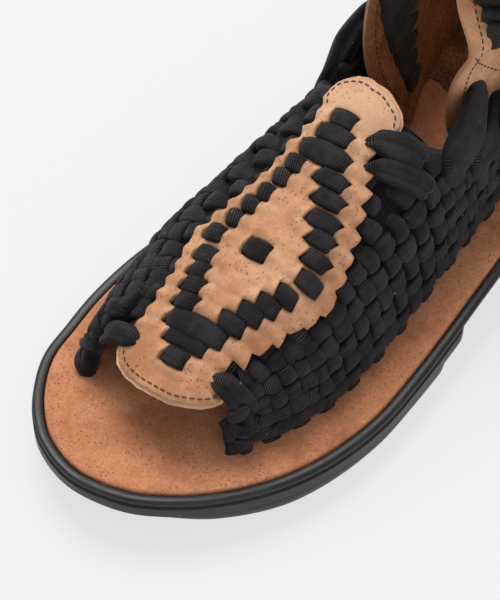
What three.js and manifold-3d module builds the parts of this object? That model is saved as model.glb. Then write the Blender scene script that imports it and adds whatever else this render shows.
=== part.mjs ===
// A left huarache sandal with an open toe: a lipped rubber sole, a leather footbed in its rim, a close
// weave of puffy stretch strips over the foot, a leather panel on the instep and a leather heel counter.
// Millimetres, +Z up, toe towards -Y, the outer (little toe) side towards +X. A station is a distance
// forward from the heel end of the footbed, and a height is measured up from the footbed's top.
import * as THREE from "three";
import { mergeVertices } from "three/addons/utils/BufferGeometryUtils.js";
import Module from "manifold-3d";

const wasm = await Module();
wasm.setup();

// ---- Driving dimensions -------------------------------------------------------------------------
const GAP = 0.3; // clearance between two pieces that meet
const LIP_WIDTH = 3.5; // flat top of the rubber rim, outside the footbed
const LIP_DEPTH = 2.2;
const TIER_DEPTH = 8.5; // from the rim's top down to the ground block
const UNDERCUT = 3.8; // how far the waist is drawn in below the lip
const GROUND_DRAW = 1.2; // how far the ground block is drawn in towards the floor
const WELL_DEPTH = 7; // the footbed's seat in the rim
const FOOTBED_RISE = 0.8; // the footbed's top above the rim
const GROOVE_WIDTH = 4;
const GROOVE_DEPTH = 3;
const GROOVE_MARGIN = 7; // tread left whole along each edge
const GROOVE_BOW = 5; // how far a groove's ends bend back to the heel
const GROOVES = [26, 40, 54, 68, 82, 178, 192, 206, 220, 234, 248, 261]; // stations
const WEAVE_WALL = 4.2; // two crossing strips, pressed together
const WEAVE_EMBED = 4; // how deep the weave goes into the footbed's slots
const WEAVE_FRONT = 247; // stations of the weave's two ends
const WEAVE_BACK = 64;
const PANEL_THICK = 2;
const COUNTER_THICK = 2.4;
const STRAP_WIDTH = 9;
const STRAP_THICK = 3.4;

// Edge of the footbed, from the heel end to the toe end.
const OUTLINE = [
  { station: 0, medial: 0, lateral: 0 },
  { station: 4, medial: -15, lateral: 15 },
  { station: 14, medial: -25.5, lateral: 26 },
  { station: 30, medial: -32, lateral: 33 },
  { station: 52, medial: -35, lateral: 37.5 },
  { station: 80, medial: -36, lateral: 41 },
  { station: 110, medial: -37.5, lateral: 44 },
  { station: 140, medial: -40.5, lateral: 47 },
  { station: 165, medial: -44.5, lateral: 49.5 },
  { station: 185, medial: -48.5, lateral: 51 },
  { station: 205, medial: -51.5, lateral: 51.5 },
  { station: 225, medial: -51.5, lateral: 48.5 },
  { station: 240, medial: -49.5, lateral: 43.5 },
  { station: 254, medial: -46.8, lateral: 36 },
  { station: 266, medial: -40.3, lateral: 27 },
  { station: 275, medial: -32.3, lateral: 17.5 },
  { station: 281, medial: -23.8, lateral: 8 },
  { station: 285, medial: -9, lateral: -9 },
];

// Height of the rim's top and of the ground side, with how much of the two lower tiers is there.
const SOLE = [
  { station: 0, rim: 23, ground: 2.4, tier: 1, block: 1 },
  { station: 14, rim: 22.9, ground: 0, tier: 1, block: 1 },
  { station: 60, rim: 22, ground: 0, tier: 1, block: 1 },
  { station: 92, rim: 20.4, ground: 0, tier: 1, block: 1 },
  { station: 104, rim: 19.6, ground: 2.6, tier: 0.2, block: 0 },
  { station: 125, rim: 18.3, ground: 5, tier: 0, block: 0 },
  { station: 148, rim: 17, ground: 4.4, tier: 0, block: 0 },
  { station: 160, rim: 16.3, ground: 2, tier: 1, block: 0 },
  { station: 169, rim: 15.7, ground: 0, tier: 1, block: 1 },
  { station: 200, rim: 14.2, ground: 0, tier: 1, block: 1 },
  { station: 238, rim: 15, ground: 0, tier: 1, block: 1 },
  { station: 262, rim: 17, ground: 2.6, tier: 1, block: 0.8 },
  { station: 276, rim: 18.8, ground: 6, tier: 1, block: 0.5 },
  { station: 290, rim: 20.6, ground: 10.2, tier: 1, block: 0.4 },
];

// The arch that the weave makes over the foot: how far inside the footbed's edge it stands, where its
// ridge runs, and how full it is (2 is an ellipse, more is squarer).
const ARCH = [
  { station: 60, medialInset: 4.5, lateralInset: 5, ridge: -1, height: 75, fullness: 3.2 },
  { station: 85, medialInset: 5, lateralInset: 8, ridge: -1, height: 74, fullness: 3 },
  { station: 110, medialInset: 5.5, lateralInset: 12, ridge: -1, height: 71, fullness: 2.7 },
  { station: 136, medialInset: 6, lateralInset: 12.3, ridge: -1, height: 65, fullness: 2.35 },
  { station: 150, medialInset: 5.5, lateralInset: 12.3, ridge: -1, height: 61.5, fullness: 2.3 },
  { station: 170, medialInset: 5, lateralInset: 12.5, ridge: -1, height: 56.5, fullness: 2.25 },
  { station: 195, medialInset: 5, lateralInset: 12.7, ridge: -1, height: 49.5, fullness: 2.2 },
  { station: 220, medialInset: 6.3, lateralInset: 13.7, ridge: -1.5, height: 39.5, fullness: 2.2 },
  { station: 240, medialInset: 7.8, lateralInset: 14.8, ridge: -2.5, height: 30, fullness: 2.3 },
  { station: 250, medialInset: 8.2, lateralInset: 15.2, ridge: -3.5, height: 25.2, fullness: 2.4 },
  { station: 262, medialInset: 9, lateralInset: 15.4, ridge: -5, height: 19, fullness: 2.5 },
];

// Top edge of the weave along the collar, up to the foot of the throat, and then the throat's lip.
const COLLAR = [
  { station: 58, height: 12 },
  { station: 70, height: 26 },
  { station: 85, height: 33 },
  { station: 105, height: 38 },
  { station: 125, height: 42 },
  { station: 137, height: 49 },
  { station: 141, height: 60 },
  { station: 141, height: 110 },
];

// Edges of the instep panel, measured along the arch from its ridge.
const PANEL = [
  { station: 137.4, medial: -1.5, lateral: 1.5 },
  { station: 138, medial: -6.5, lateral: 6 },
  { station: 139.6, medial: -11.3, lateral: 9.8 },
  { station: 143, medial: -14.6, lateral: 12.8 },
  { station: 149, medial: -14.6, lateral: 13.6 },
  { station: 157, medial: -13, lateral: 14 },
  { station: 165, medial: -13.2, lateral: 17.6 },
  { station: 176, medial: -14.5, lateral: 24.4 },
  { station: 188, medial: -17.8, lateral: 30.3 },
  { station: 201, medial: -21, lateral: 33 },
  { station: 212, medial: -21.8, lateral: 29.6 },
  { station: 224, medial: -20.8, lateral: 25 },
  { station: 236, medial: -20.2, lateral: 22.6 },
  { station: 244, medial: -20, lateral: 22.6 },
  { station: 250, medial: -15.5, lateral: 18 },
  { station: 253.6, medial: -9.4, lateral: 13 },
  { station: 256, medial: -2.5, lateral: 7 },
  { station: 256.6, medial: 1, lateral: 4 },
];

// Outer face of the heel counter, from the medial flap round the heel to the lateral flap. Each row is
// an upright line through a low, a middle and a top point. The middle is 40 above the footbed.
const COUNTER_MIDDLE = 40;
const COUNTER = [
  { lowX: -13, lowAt: 103, low: 3, midX: -20, midAt: 120, topX: -26, topAt: 112, top: 73 },
  { lowX: -19.5, lowAt: 89, low: 2, midX: -23.5, midAt: 100, topX: -27, topAt: 94, top: 74 },
  { lowX: -25, lowAt: 70, low: -3, midX: -26, midAt: 73, topX: -26, topAt: 70, top: 69 },
  { lowX: -27.5, lowAt: 44, low: -3, midX: -29, midAt: 45, topX: -25.5, topAt: 48, top: 69 },
  { lowX: -21.5, lowAt: 18, low: -3, midX: -22.5, midAt: 16, topX: -19, topAt: 24, top: 76 },
  { lowX: 0, lowAt: 6.5, low: -3, midX: 0, midAt: 3, topX: 0, topAt: 12, top: 81 },
  { lowX: 21.5, lowAt: 18, low: -3, midX: 23, midAt: 16, topX: 19, topAt: 24, top: 76 },
  { lowX: 28.5, lowAt: 44, low: -3, midX: 29.5, midAt: 45, topX: 25.5, topAt: 48, top: 69 },
  { lowX: 28, lowAt: 70, low: -3, midX: 26.5, midAt: 73, topX: 24, topAt: 70, top: 71 },
  { lowX: 24.5, lowAt: 90, low: 2, midX: 20.5, midAt: 99, topX: 22, topAt: 94, top: 78 },
  { lowX: 20, lowAt: 105, low: 3, midX: 14.5, midAt: 119, topX: 21, topAt: 113, top: 83 },
];

// Straps that fan from the collar edge of the weave up to the slits in the counter's flaps: where each
// leaves the weave, and where along the counter (in rows of its table) and how high it ends.
const FAN = [
  { side: "lateral", station: 135, height: 43, row: 9.85, end: 57 },
  { side: "lateral", station: 122, height: 39, row: 9.3, end: 55 },
  { side: "lateral", station: 108, height: 36, row: 8.8, end: 53 },
  { side: "lateral", station: 93, height: 33, row: 8.3, end: 50 },
  { side: "medial", station: 134, height: 45, row: 0.3, end: 60 },
  { side: "medial", station: 122, height: 39, row: 0.75, end: 56 },
  { side: "medial", station: 108, height: 36, row: 1.25, end: 53 },
  { side: "medial", station: 93, height: 33, row: 1.7, end: 50 },
];

// ---- Reading the tables -------------------------------------------------------------------------
// Slope of a column at one row, kept from overshooting: it is flat at a peak and beside a level stretch.
function slopeAt(rows, column, i) {
  const rise = (k) => (rows[k + 1][column] - rows[k][column]) / (rows[k + 1].station - rows[k].station);
  if (i === 0) return rise(0);
  if (i === rows.length - 1) return rise(i - 1);
  const before = rise(i - 1);
  const after = rise(i);
  if (before * after <= 0) return 0;
  const left = rows[i].station - rows[i - 1].station;
  const right = rows[i + 1].station - rows[i].station;
  return (3 * (left + right)) / ((2 * right + left) / before + (right + 2 * left) / after);
}

function at(rows, column, station) {
  const inside = THREE.MathUtils.clamp(station, rows[0].station, rows[rows.length - 1].station);
  let i = 0;
  while (i < rows.length - 2 && rows[i + 1].station <= inside) i += 1;
  const span = rows[i + 1].station - rows[i].station;
  const t = (inside - rows[i].station) / span;
  const start = rows[i][column];
  const end = rows[i + 1][column];
  const startSlope = slopeAt(rows, column, i) * span;
  const endSlope = slopeAt(rows, column, i + 1) * span;
  const ease = t * t * (3 - 2 * t);
  return start + (end - start) * ease + startSlope * t * (1 - t) ** 2 - endSlope * t * t * (1 - t);
}

const range = (count) => Array.from({ length: count }, (_, i) => i);
const spread = (from, to, count) => range(count).map((i) => from + ((to - from) * i) / (count - 1));
const footbedTop = (station) => at(SOLE, "rim", station) + FOOTBED_RISE;

// ---- Closed solids ------------------------------------------------------------------------------
// Triangles over numbered points become a solid that faces outwards.
function solidOf(points, triangles) {
  const vertProperties = new Float32Array(points.flatMap((p) => [p.x, p.y, p.z]));
  const volume = triangles.reduce((sum, [a, b, c]) => {
    const normal = new THREE.Vector3().crossVectors(points[b], points[c]);
    return sum + points[a].dot(normal);
  }, 0);
  const facing = volume < 0 ? triangles.map(([a, b, c]) => [a, c, b]) : triangles;
  const triVerts = new Uint32Array(facing.flat());
  return new wasm.Manifold(new wasm.Mesh({ numProp: 3, vertProperties, triVerts }));
}

const quad = (a, b, c, d) => [[a, b, c], [a, c, d]];

// A sheet of material between two equal grids of points, closed along its four borders.
function sheetSolid(front, back) {
  const rows = front.length;
  const columns = front[0].length;
  const id = (side, r, c) => (side * rows + r) * columns + c;
  const triangles = [];
  for (let r = 0; r + 1 < rows; r += 1) {
    for (let c = 0; c + 1 < columns; c += 1) {
      triangles.push(...quad(id(0, r, c), id(0, r, c + 1), id(0, r + 1, c + 1), id(0, r + 1, c)));
      triangles.push(...quad(id(1, r, c), id(1, r + 1, c), id(1, r + 1, c + 1), id(1, r, c + 1)));
    }
    const far = columns - 1;
    triangles.push(...quad(id(0, r, 0), id(0, r + 1, 0), id(1, r + 1, 0), id(1, r, 0)));
    triangles.push(...quad(id(0, r, far), id(1, r, far), id(1, r + 1, far), id(0, r + 1, far)));
  }
  for (let c = 0; c + 1 < columns; c += 1) {
    const far = rows - 1;
    triangles.push(...quad(id(0, 0, c), id(1, 0, c), id(1, 0, c + 1), id(0, 0, c + 1)));
    triangles.push(...quad(id(0, far, c), id(0, far, c + 1), id(1, far, c + 1), id(1, far, c)));
  }
  return solidOf([...front.flat(), ...back.flat()], triangles);
}

// A pile of equal closed rings, skinned in order. Each end is closed by rungs from one side to the
// other, so that it follows the sole's rise from heel to toe.
function ringSolid(rings) {
  const count = rings[0].length;
  const triangles = [];
  for (let r = 0; r + 1 < rings.length; r += 1) {
    for (const k of range(count)) {
      const next = (k + 1) % count;
      const low = r * count;
      triangles.push(...quad(low + k, low + next, low + count + next, low + count + k));
    }
  }
  for (const [ring, flip] of [[0, false], [rings.length - 1, true]]) {
    const id = (k) => ring * count + (k % count);
    for (let k = 0; k < count / 2; k += 1) {
      const rung = [id(k), id(count - k), id(count - k - 1), id(k + 1)];
      const faces = quad(...(flip ? rung.reverse() : rung));
      triangles.push(...faces.filter(([a, b, c]) => a !== b && b !== c && a !== c));
    }
  }
  return solidOf(rings.flat(), triangles);
}

// A three.js geometry as a solid, for cutting.
function solidFrom(geometry) {
  const bare = geometry.index ? geometry.toNonIndexed() : geometry;
  bare.deleteAttribute("normal");
  bare.deleteAttribute("uv");
  const merged = mergeVertices(bare, 1e-4);
  const vertProperties = new Float32Array(merged.attributes.position.array);
  const triVerts = new Uint32Array(merged.index.array);
  return new wasm.Manifold(new wasm.Mesh({ numProp: 3, vertProperties, triVerts }));
}

// ---- Sole and footbed ---------------------------------------------------------------------------
const edgePoint = (row, side) => new THREE.Vector3(row[side], -row.station, 0);
const edgeCurve = new THREE.CatmullRomCurve3(
  [
    ...OUTLINE.map((row) => edgePoint(row, "lateral")),
    ...OUTLINE.slice(1, -1).reverse().map((row) => edgePoint(row, "medial")),
  ],
  true,
);
const EDGE_STEPS = (OUTLINE.length - 1) * 4;

// A ring round the footbed's edge, moved out by `out` and set at `level`, both read at each station.
function edgeRing(out, level) {
  return range(EDGE_STEPS).map((k) => {
    const point = edgeCurve.getPoint(k / EDGE_STEPS);
    const along = edgeCurve.getTangent(k / EDGE_STEPS);
    const distance = out(-point.y);
    point.x -= along.y * distance;
    point.y += along.x * distance;
    point.z = level(-point.y);
    return point;
  });
}

const rimTop = (station) => at(SOLE, "rim", station);
const ground = (station) => at(SOLE, "ground", station);
const tierOut = (station) => LIP_WIDTH + 0.5 - UNDERCUT * (1 - at(SOLE, "tier", station));
const blockOut = (station) => LIP_WIDTH + 0.2 - UNDERCUT * (1 - at(SOLE, "block", station));
const blockTop = (station) => Math.max(rimTop(station) - TIER_DEPTH, ground(station) + 2.6);

function grooveCutter(station) {
  const low = at(OUTLINE, "medial", station) + GROOVE_MARGIN;
  const high = at(OUTLINE, "lateral", station) - GROOVE_MARGIN;
  const bow = (x) => GROOVE_BOW * ((2 * (x - low)) / (high - low) - 1) ** 2;
  const across = spread(low, high, 7);
  const front = across.map((x) => new THREE.Vector2(x, -station + bow(x) - GROOVE_WIDTH / 2));
  const back = across.reverse().map((x) => new THREE.Vector2(x, -station + bow(x) + GROOVE_WIDTH / 2));
  const depth = ground(station) + GROOVE_DEPTH + 1;
  const bar = new THREE.ExtrudeGeometry(new THREE.Shape([...front, ...back]), { depth, bevelEnabled: false });
  return solidFrom(bar.translate(0, 0, -1));
}

function makeOutsole() {
  const flat = (distance) => () => distance;
  let sole = ringSolid([
    edgeRing((s) => blockOut(s) - GROUND_DRAW - 1.6, ground),
    edgeRing((s) => blockOut(s) - GROUND_DRAW, (s) => ground(s) + 0.7),
    edgeRing((s) => blockOut(s) - 0.3, (s) => blockTop(s) - 1.2),
    edgeRing((s) => Math.min(blockOut(s), tierOut(s)) - 0.6, (s) => blockTop(s) - 0.2),
    edgeRing(tierOut, (s) => blockTop(s) + 0.9),
    edgeRing(tierOut, (s) => rimTop(s) - LIP_DEPTH - 1.7),
    edgeRing((s) => Math.min(tierOut(s), LIP_WIDTH) - 0.9, (s) => rimTop(s) - LIP_DEPTH - 0.8),
    edgeRing(flat(LIP_WIDTH), (s) => rimTop(s) - LIP_DEPTH),
    edgeRing(flat(LIP_WIDTH + 0.1), (s) => rimTop(s) - 0.9),
    edgeRing(flat(LIP_WIDTH - 0.7), (s) => rimTop(s) - 0.1),
    edgeRing(flat(0.5), rimTop),
    edgeRing(flat(0), (s) => rimTop(s) - 0.6),
    edgeRing(flat(0), (s) => rimTop(s) - WELL_DEPTH),
  ]);
  for (const station of GROOVES) {
    sole = sole.subtract(grooveCutter(station));
  }
  return sole;
}

function makeFootbed() {
  const inside = (distance) => () => -GAP - distance;
  const board = ringSolid([
    edgeRing(inside(0), (s) => rimTop(s) - WELL_DEPTH + GAP),
    edgeRing(inside(0), (s) => rimTop(s) - 0.3),
    edgeRing(inside(0.5), (s) => footbedTop(s) - 0.4),
    edgeRing(inside(1.6), footbedTop),
  ]);
  const weaveSlot = weaveWall(GAP);
  const counterSlot = counterWall(GAP);
  return board.subtract(weaveSlot).subtract(counterSlot);
}

// ---- Weave over the foot ------------------------------------------------------------------------
// One section of the arch, from its outer foot over the ridge to its inner foot, moved out by `lift`.
const ARCH_STEPS = 26;

function archPoint(station, turn, lift) {
  const half = Math.cos(turn) > 0 ? "lateral" : "medial";
  const sign = half === "lateral" ? 1 : -1;
  const ridge = at(ARCH, "ridge", station);
  const foot = at(OUTLINE, half, station) - sign * at(ARCH, half + "Inset", station);
  const reach = Math.abs(foot - ridge);
  const height = at(ARCH, "height", station);
  const power = 2 / at(ARCH, "fullness", station);
  const across = Math.abs(Math.cos(turn)) ** power;
  const up = Math.max(0, Math.sin(turn)) ** power;
  const normal = new THREE.Vector2(across ** (2 / power - 1) / reach, up ** (2 / power - 1) / height);
  normal.setLength(lift);
  const x = ridge + sign * (reach * across + normal.x);
  const z = footbedTop(station) + height * up + normal.y;
  return new THREE.Vector3(x, -station, z);
}

function archRow(station, lift, embed) {
  const turns = spread(0, Math.PI, ARCH_STEPS + 1);
  const row = turns.map((turn) => archPoint(station, turn, lift));
  const sunk = (point) => new THREE.Vector3(point.x, point.y, footbedTop(station) - embed);
  return [sunk(row[0]), ...row, sunk(row[ARCH_STEPS])];
}

// The weave as one wall from front to back. `grow` swells it on every side, to cut its slot.
function weaveWall(grow) {
  const stations = spread(WEAVE_BACK - grow, WEAVE_FRONT + grow, 24);
  const embed = WEAVE_EMBED + grow;
  return sheetSolid(
    stations.map((station) => archRow(station, grow, embed)),
    stations.map((station) => archRow(station, -WEAVE_WALL - grow, embed)),
  );
}

// Everything above the collar's edge, right across the shoe.
function collarCutter() {
  const edge = COLLAR.map((row) => new THREE.Vector2(row.station, row.height + footbedTop(row.station)));
  const shape = new THREE.Shape([new THREE.Vector2(40, 140), new THREE.Vector2(40, 20), ...edge]);
  const bar = new THREE.ExtrudeGeometry(shape, { depth: 160, bevelEnabled: false });
  const turn = new THREE.Matrix4().set(0, 0, -1, 80, -1, 0, 0, 0, 0, 1, 0, 0, 0, 0, 0, 1);
  return solidFrom(bar.applyMatrix4(turn));
}

// A point of the weave's outer face at a height above the footbed, by halving the turn.
function archAtHeight(station, side, height, lift) {
  let low = 0;
  let high = Math.PI / 2;
  for (let i = 0; i < 20; i += 1) {
    const middle = (low + high) / 2;
    const up = archPoint(station, middle, 0).z - footbedTop(station);
    if (up < height) low = middle;
    else high = middle;
  }
  return archPoint(station, side === "lateral" ? low : Math.PI - low, lift);
}

// A soft strap of lens section through the given points, with its flat side facing `outward`.
function strapSolid(path, outward) {
  const curve = new THREE.CatmullRomCurve3(path);
  const across = spread(-1, 1, 5);
  const front = [];
  const back = [];
  for (const t of spread(0, 1, 8)) {
    const point = curve.getPoint(t);
    const along = curve.getTangent(t);
    const facing = outward.clone().addScaledVector(along, -outward.dot(along)).normalize();
    const side = new THREE.Vector3().crossVectors(along, facing);
    const row = (sign) =>
      across.map((a) => {
        const thick = (STRAP_THICK / 2) * (0.35 + 0.65 * Math.sqrt(1 - a * a * 0.95));
        return point.clone().addScaledVector(side, (a * STRAP_WIDTH) / 2).addScaledVector(facing, sign * thick);
      });
    front.push(row(1));
    back.push(row(-1));
  }
  return sheetSolid(front, back);
}

function fanStrap({ side, station, height, row, end }) {
  const sign = side === "lateral" ? 1 : -1;
  const root = archAtHeight(station, side, height - 6, -WEAVE_WALL / 2);
  const rise = archAtHeight(station - 2, side, height + 1, -WEAVE_WALL / 2 + 1);
  const tip = counterPoint(row, end, STRAP_THICK / 2 + 2 * GAP);
  const bow = rise.clone().lerp(tip, 0.5);
  bow.x += sign * 2;
  return strapSolid([root, rise, bow, tip], new THREE.Vector3(sign, 0, 0.45).normalize());
}

function makeUpper() {
  const wall = weaveWall(0).subtract(collarCutter());
  return FAN.reduce((body, strap) => body.add(fanStrap(strap)), wall).subtract(counterWall(GAP));
}

// ---- Instep panel -------------------------------------------------------------------------------
// Point of the arch at a distance along it from the ridge (outer side positive), lifted off its face.
function archAtArc(station, arc, lift) {
  const turns = spread(Math.PI / 2, arc < 0 ? Math.PI : 0, 40);
  let travelled = 0;
  for (let i = 0; i + 1 < turns.length; i += 1) {
    const from = archPoint(station, turns[i], 0);
    const step = archPoint(station, turns[i + 1], 0).distanceTo(from);
    if (travelled + step >= Math.abs(arc)) {
      const share = (Math.abs(arc) - travelled) / step;
      return archPoint(station, turns[i] + (turns[i + 1] - turns[i]) * share, lift);
    }
    travelled += step;
  }
  throw new Error("the panel is wider than the arch");
}

function makePanel() {
  const from = PANEL[0].station;
  const to = PANEL[PANEL.length - 1].station;
  const capEnd = [from, 137.7, 138.2, 139.2, 140.6, 143];
  const toeEnd = [248, 250.5, 252.6, 254.3, 255.6, 256.2, to];
  const stations = [...capEnd, ...spread(146, 245, 11), ...toeEnd];
  const row = (station, lift) =>
    spread(at(PANEL, "medial", station), at(PANEL, "lateral", station), 13).map((arc) =>
      archAtArc(station, arc, lift),
    );
  return sheetSolid(
    stations.map((station) => row(station, GAP + PANEL_THICK)),
    stations.map((station) => row(station, GAP)),
  );
}

// ---- Heel counter -------------------------------------------------------------------------------
// One upright line of the counter, worked out between two rows of its table.
function counterColumn(row) {
  const levels = [
    ["lowX", "lowAt", "low"],
    ["midX", "midAt", null],
    ["topX", "topAt", "top"],
  ];
  return levels.map(([x, station, height]) => {
    const points = COUNTER.map((r) => {
      const up = height ? r[height] : COUNTER_MIDDLE;
      return new THREE.Vector3(r[x], -r[station], footbedTop(r[station]) + up);
    });
    return new THREE.CatmullRomCurve3(points).getPoint(row / (COUNTER.length - 1));
  });
}

// The same line as a smooth curve through its three points, read by share of the way up.
function counterOn(column, share) {
  const [low, middle, top] = column;
  const below = 2 * (share - 0.5) * (share - 1);
  const centre = -4 * share * (share - 1);
  const above = 2 * share * (share - 0.5);
  return low.clone().multiplyScalar(below).addScaledVector(middle, centre).addScaledVector(top, above);
}

function counterFace(row, share, lift) {
  const last = COUNTER.length - 1;
  const step = 0.05;
  const left = counterColumn(Math.max(0, row - step));
  const right = counterColumn(Math.min(last, row + step));
  const here = counterColumn(row);
  const along = counterOn(right, share).sub(counterOn(left, share));
  const up = counterOn(here, share + step).sub(counterOn(here, share - step));
  const normal = new THREE.Vector3().crossVectors(up, along).normalize();
  return counterOn(here, share).addScaledVector(normal, lift);
}

// Point of the outer face at a height above the footbed.
function counterPoint(row, height, lift) {
  const [low, , top] = counterColumn(row);
  const target = footbedTop(-low.y) + height;
  return counterFace(row, (target - low.z) / (top.z - low.z), lift);
}

function counterWall(grow) {
  const rows = spread(0, COUNTER.length - 1, 41);
  const shares = spread(grow ? -0.02 : 0, grow ? 1.02 : 1, 11);
  return sheetSolid(
    rows.map((row) => shares.map((share) => counterFace(row, share, grow))),
    rows.map((row) => shares.map((share) => counterFace(row, share, -COUNTER_THICK - grow))),
  );
}

// ---- The shoe -----------------------------------------------------------------------------------
function piece(name, solid, color, roughness) {
  const made = solid.getMesh();
  const geometry = new THREE.BufferGeometry();
  geometry.setAttribute("position", new THREE.BufferAttribute(made.vertProperties, 3));
  geometry.setIndex(new THREE.BufferAttribute(made.triVerts, 1));
  geometry.computeVertexNormals();
  const material = new THREE.MeshStandardMaterial({ color, roughness, metalness: 0 });
  const mesh = new THREE.Mesh(geometry, material);
  mesh.name = name;
  return mesh;
}

const shoe = new THREE.Group();
shoe.add(
  piece("outsole", makeOutsole(), 0x37393a, 0.55),
  piece("footbed", makeFootbed(), 0xb07a52, 0.9),
  piece("upper", makeUpper(), 0x27272b, 0.85),
  piece("vamp_panel", makePanel(), 0xcf9f76, 0.9),
  piece("heel_counter", counterWall(0), 0xb58457, 0.9),
);

// The origin goes to the middle of the shoe's length and width, on the ground.
const box = new THREE.Box3().setFromObject(shoe);
const middle = box.getCenter(new THREE.Vector3());
shoe.position.set(-middle.x, -middle.y, -box.min.z);

export default shoe;
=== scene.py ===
# %% [markdown]
# # A huarache sandal, left foot
# A woven sandal with an open toe. Soft black strips are plaited over the foot, a tan leather panel lies
# on the instep with strips threaded through its slits, a leather counter stands round the heel, and all
# of it grows out of a leather footbed that sits in a lipped rubber sole.
#
# Every piece is built from the same few measurements: the footbed's edge, the height of the rim, and
# the arch that the weave makes over the foot. They are kept in small tables in millimetres, with a
# *station* counted forward from the heel. One function turns such a place into the part's own metres.

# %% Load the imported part, which never moves
import math
import bpy
import numpy as np
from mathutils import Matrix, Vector


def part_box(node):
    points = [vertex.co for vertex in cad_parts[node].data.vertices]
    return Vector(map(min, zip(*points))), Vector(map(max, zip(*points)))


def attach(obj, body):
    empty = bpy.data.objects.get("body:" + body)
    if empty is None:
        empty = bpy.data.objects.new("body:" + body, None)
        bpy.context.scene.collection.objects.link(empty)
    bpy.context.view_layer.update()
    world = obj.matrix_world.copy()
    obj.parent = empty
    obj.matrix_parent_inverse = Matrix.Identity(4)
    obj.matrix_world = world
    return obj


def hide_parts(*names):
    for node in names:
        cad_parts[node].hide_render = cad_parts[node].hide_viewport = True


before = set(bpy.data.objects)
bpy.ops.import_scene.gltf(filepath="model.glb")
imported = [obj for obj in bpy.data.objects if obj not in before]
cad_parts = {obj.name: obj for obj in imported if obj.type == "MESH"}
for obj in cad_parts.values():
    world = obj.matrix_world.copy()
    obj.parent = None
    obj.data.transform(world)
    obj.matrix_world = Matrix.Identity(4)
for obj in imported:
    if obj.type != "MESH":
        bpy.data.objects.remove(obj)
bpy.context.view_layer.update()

print("the packed part has", len(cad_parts), "nodes:", sorted(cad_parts))

# %% [markdown]
# ## Tables and how they are read
# A shoe's lines are gentle, so a handful of rows is enough if the curve between them never overshoots.
# A monotone cubic does that: its slope at each row is a mean of the two neighbours, and zero at a peak.

# %% A table with named columns, and a smooth reading of it
def table(names, *rows):
    return dict(zip(names.split(), np.array(rows, float).T))


def read(rows, column, station):
    x, y = rows["station"], rows[column]
    s = np.clip(station, x[0], x[-1])
    i = np.clip(np.searchsorted(x, s, side="right") - 1, 0, len(x) - 2)
    span = np.diff(x)
    rise = np.diff(y) / span
    before, after, left, right = rise[:-1], rise[1:], span[:-1], span[1:]
    with np.errstate(divide="ignore", invalid="ignore"):
        mean = 3 * (left + right) / ((2 * right + left) / before + (right + 2 * left) / after)
    inner = np.where(before * after > 0, mean, 0.0)
    slope = np.concatenate([rise[:1], inner, rise[-1:]])
    t = (s - x[i]) / span[i]
    ease = t * t * (3 - 2 * t)
    bend = slope[i] * t * (1 - t) ** 2 - slope[i + 1] * t * t * (1 - t)
    return y[i] + (y[i + 1] - y[i]) * ease + bend * span[i]


slope_then_flat = table("station height", (0, 0), (1, 2), (2, 2))
print("a quarter of the way up:", float(read(slope_then_flat, "height", 0.25)))


# %% The footbed's edge, the rim, the arch of the weave and its top edge, in millimetres
EDGE = table("station medial lateral",
             (0, 0, 0), (4, -15, 15), (14, -25.5, 26), (30, -32, 33), (52, -35, 37.5), (80, -36, 41),
             (110, -37.5, 44), (140, -40.5, 47), (165, -44.5, 49.5), (185, -48.5, 51),
             (205, -51.5, 51.5), (225, -51.5, 48.5), (240, -49.5, 43.5), (254, -46.8, 36),
             (266, -40.3, 27), (275, -32.3, 17.5), (281, -23.8, 8), (285, -9, -9))
RIM = table("station top ground tier block",
            (0, 23, 2.4, 1, 1), (14, 22.9, 0, 1, 1), (60, 22, 0, 1, 1), (92, 20.4, 0, 1, 1),
            (104, 19.6, 2.6, 0.2, 0), (125, 18.3, 5, 0, 0), (148, 17, 4.4, 0, 0),
            (160, 16.3, 2, 1, 0), (169, 15.7, 0, 1, 1), (200, 14.2, 0, 1, 1), (238, 15, 0, 1, 1),
            (262, 17, 2.6, 1, 0.8), (276, 18.8, 6, 1, 0.5), (290, 20.6, 10.2, 1, 0.4))
ARCH = table("station medial_inset lateral_inset ridge height fullness",
             (60, 4.5, 5, -1, 75, 3.2), (85, 5, 8, -1, 74, 3), (110, 5.5, 12, -1, 71, 2.7),
             (136, 6, 12.3, -1, 65, 2.35), (150, 5.5, 12.3, -1, 61.5, 2.3),
             (170, 5, 12.5, -1, 56.5, 2.25), (195, 5, 12.7, -1, 49.5, 2.2),
             (220, 6.3, 13.7, -1.5, 39.5, 2.2), (240, 7.8, 14.8, -2.5, 30, 2.3),
             (250, 8.2, 15.2, -3.5, 25.2, 2.4), (262, 9, 15.4, -5, 19, 2.5))
COLLAR = table("station height",
               (58, 12), (70, 26), (85, 33), (105, 38), (125, 42), (137, 49), (140, 58), (141, 75))
RISE = 0.8  # the footbed's top above the rim
FIT = 0.3  # gap between the footbed and the sole
OFF_CENTRE = 0.155  # the middle of the footbed's outline lies this far on the inner side of x = 0


def footbed_top(station):
    return read(RIM, "top", station) + RISE


footbed_low, footbed_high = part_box("footbed")
SHIFT = np.array([(footbed_low[0] + footbed_high[0]) * 500 + OFF_CENTRE, footbed_high[1] * 1000 + FIT, 0])


def placed(points):
    """Shoe millimetres (x, -station, z) as metres in the part's frame."""
    return (np.asarray(points, float) + SHIFT) / 1000


print("the heel end of the footbed is at y =", round(float(SHIFT[1]), 2), "mm")

# %% [markdown]
# ## The arch over the foot
# A section across the shoe is half a superellipse. A point on it is named by its station and by the
# *arc*, the distance along the section from its ridge, outer side positive, because that is how a strip
# of cloth or a leather panel lies on it. Past the arch's foot the surface goes straight down, into the
# footbed's slots.

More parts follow.
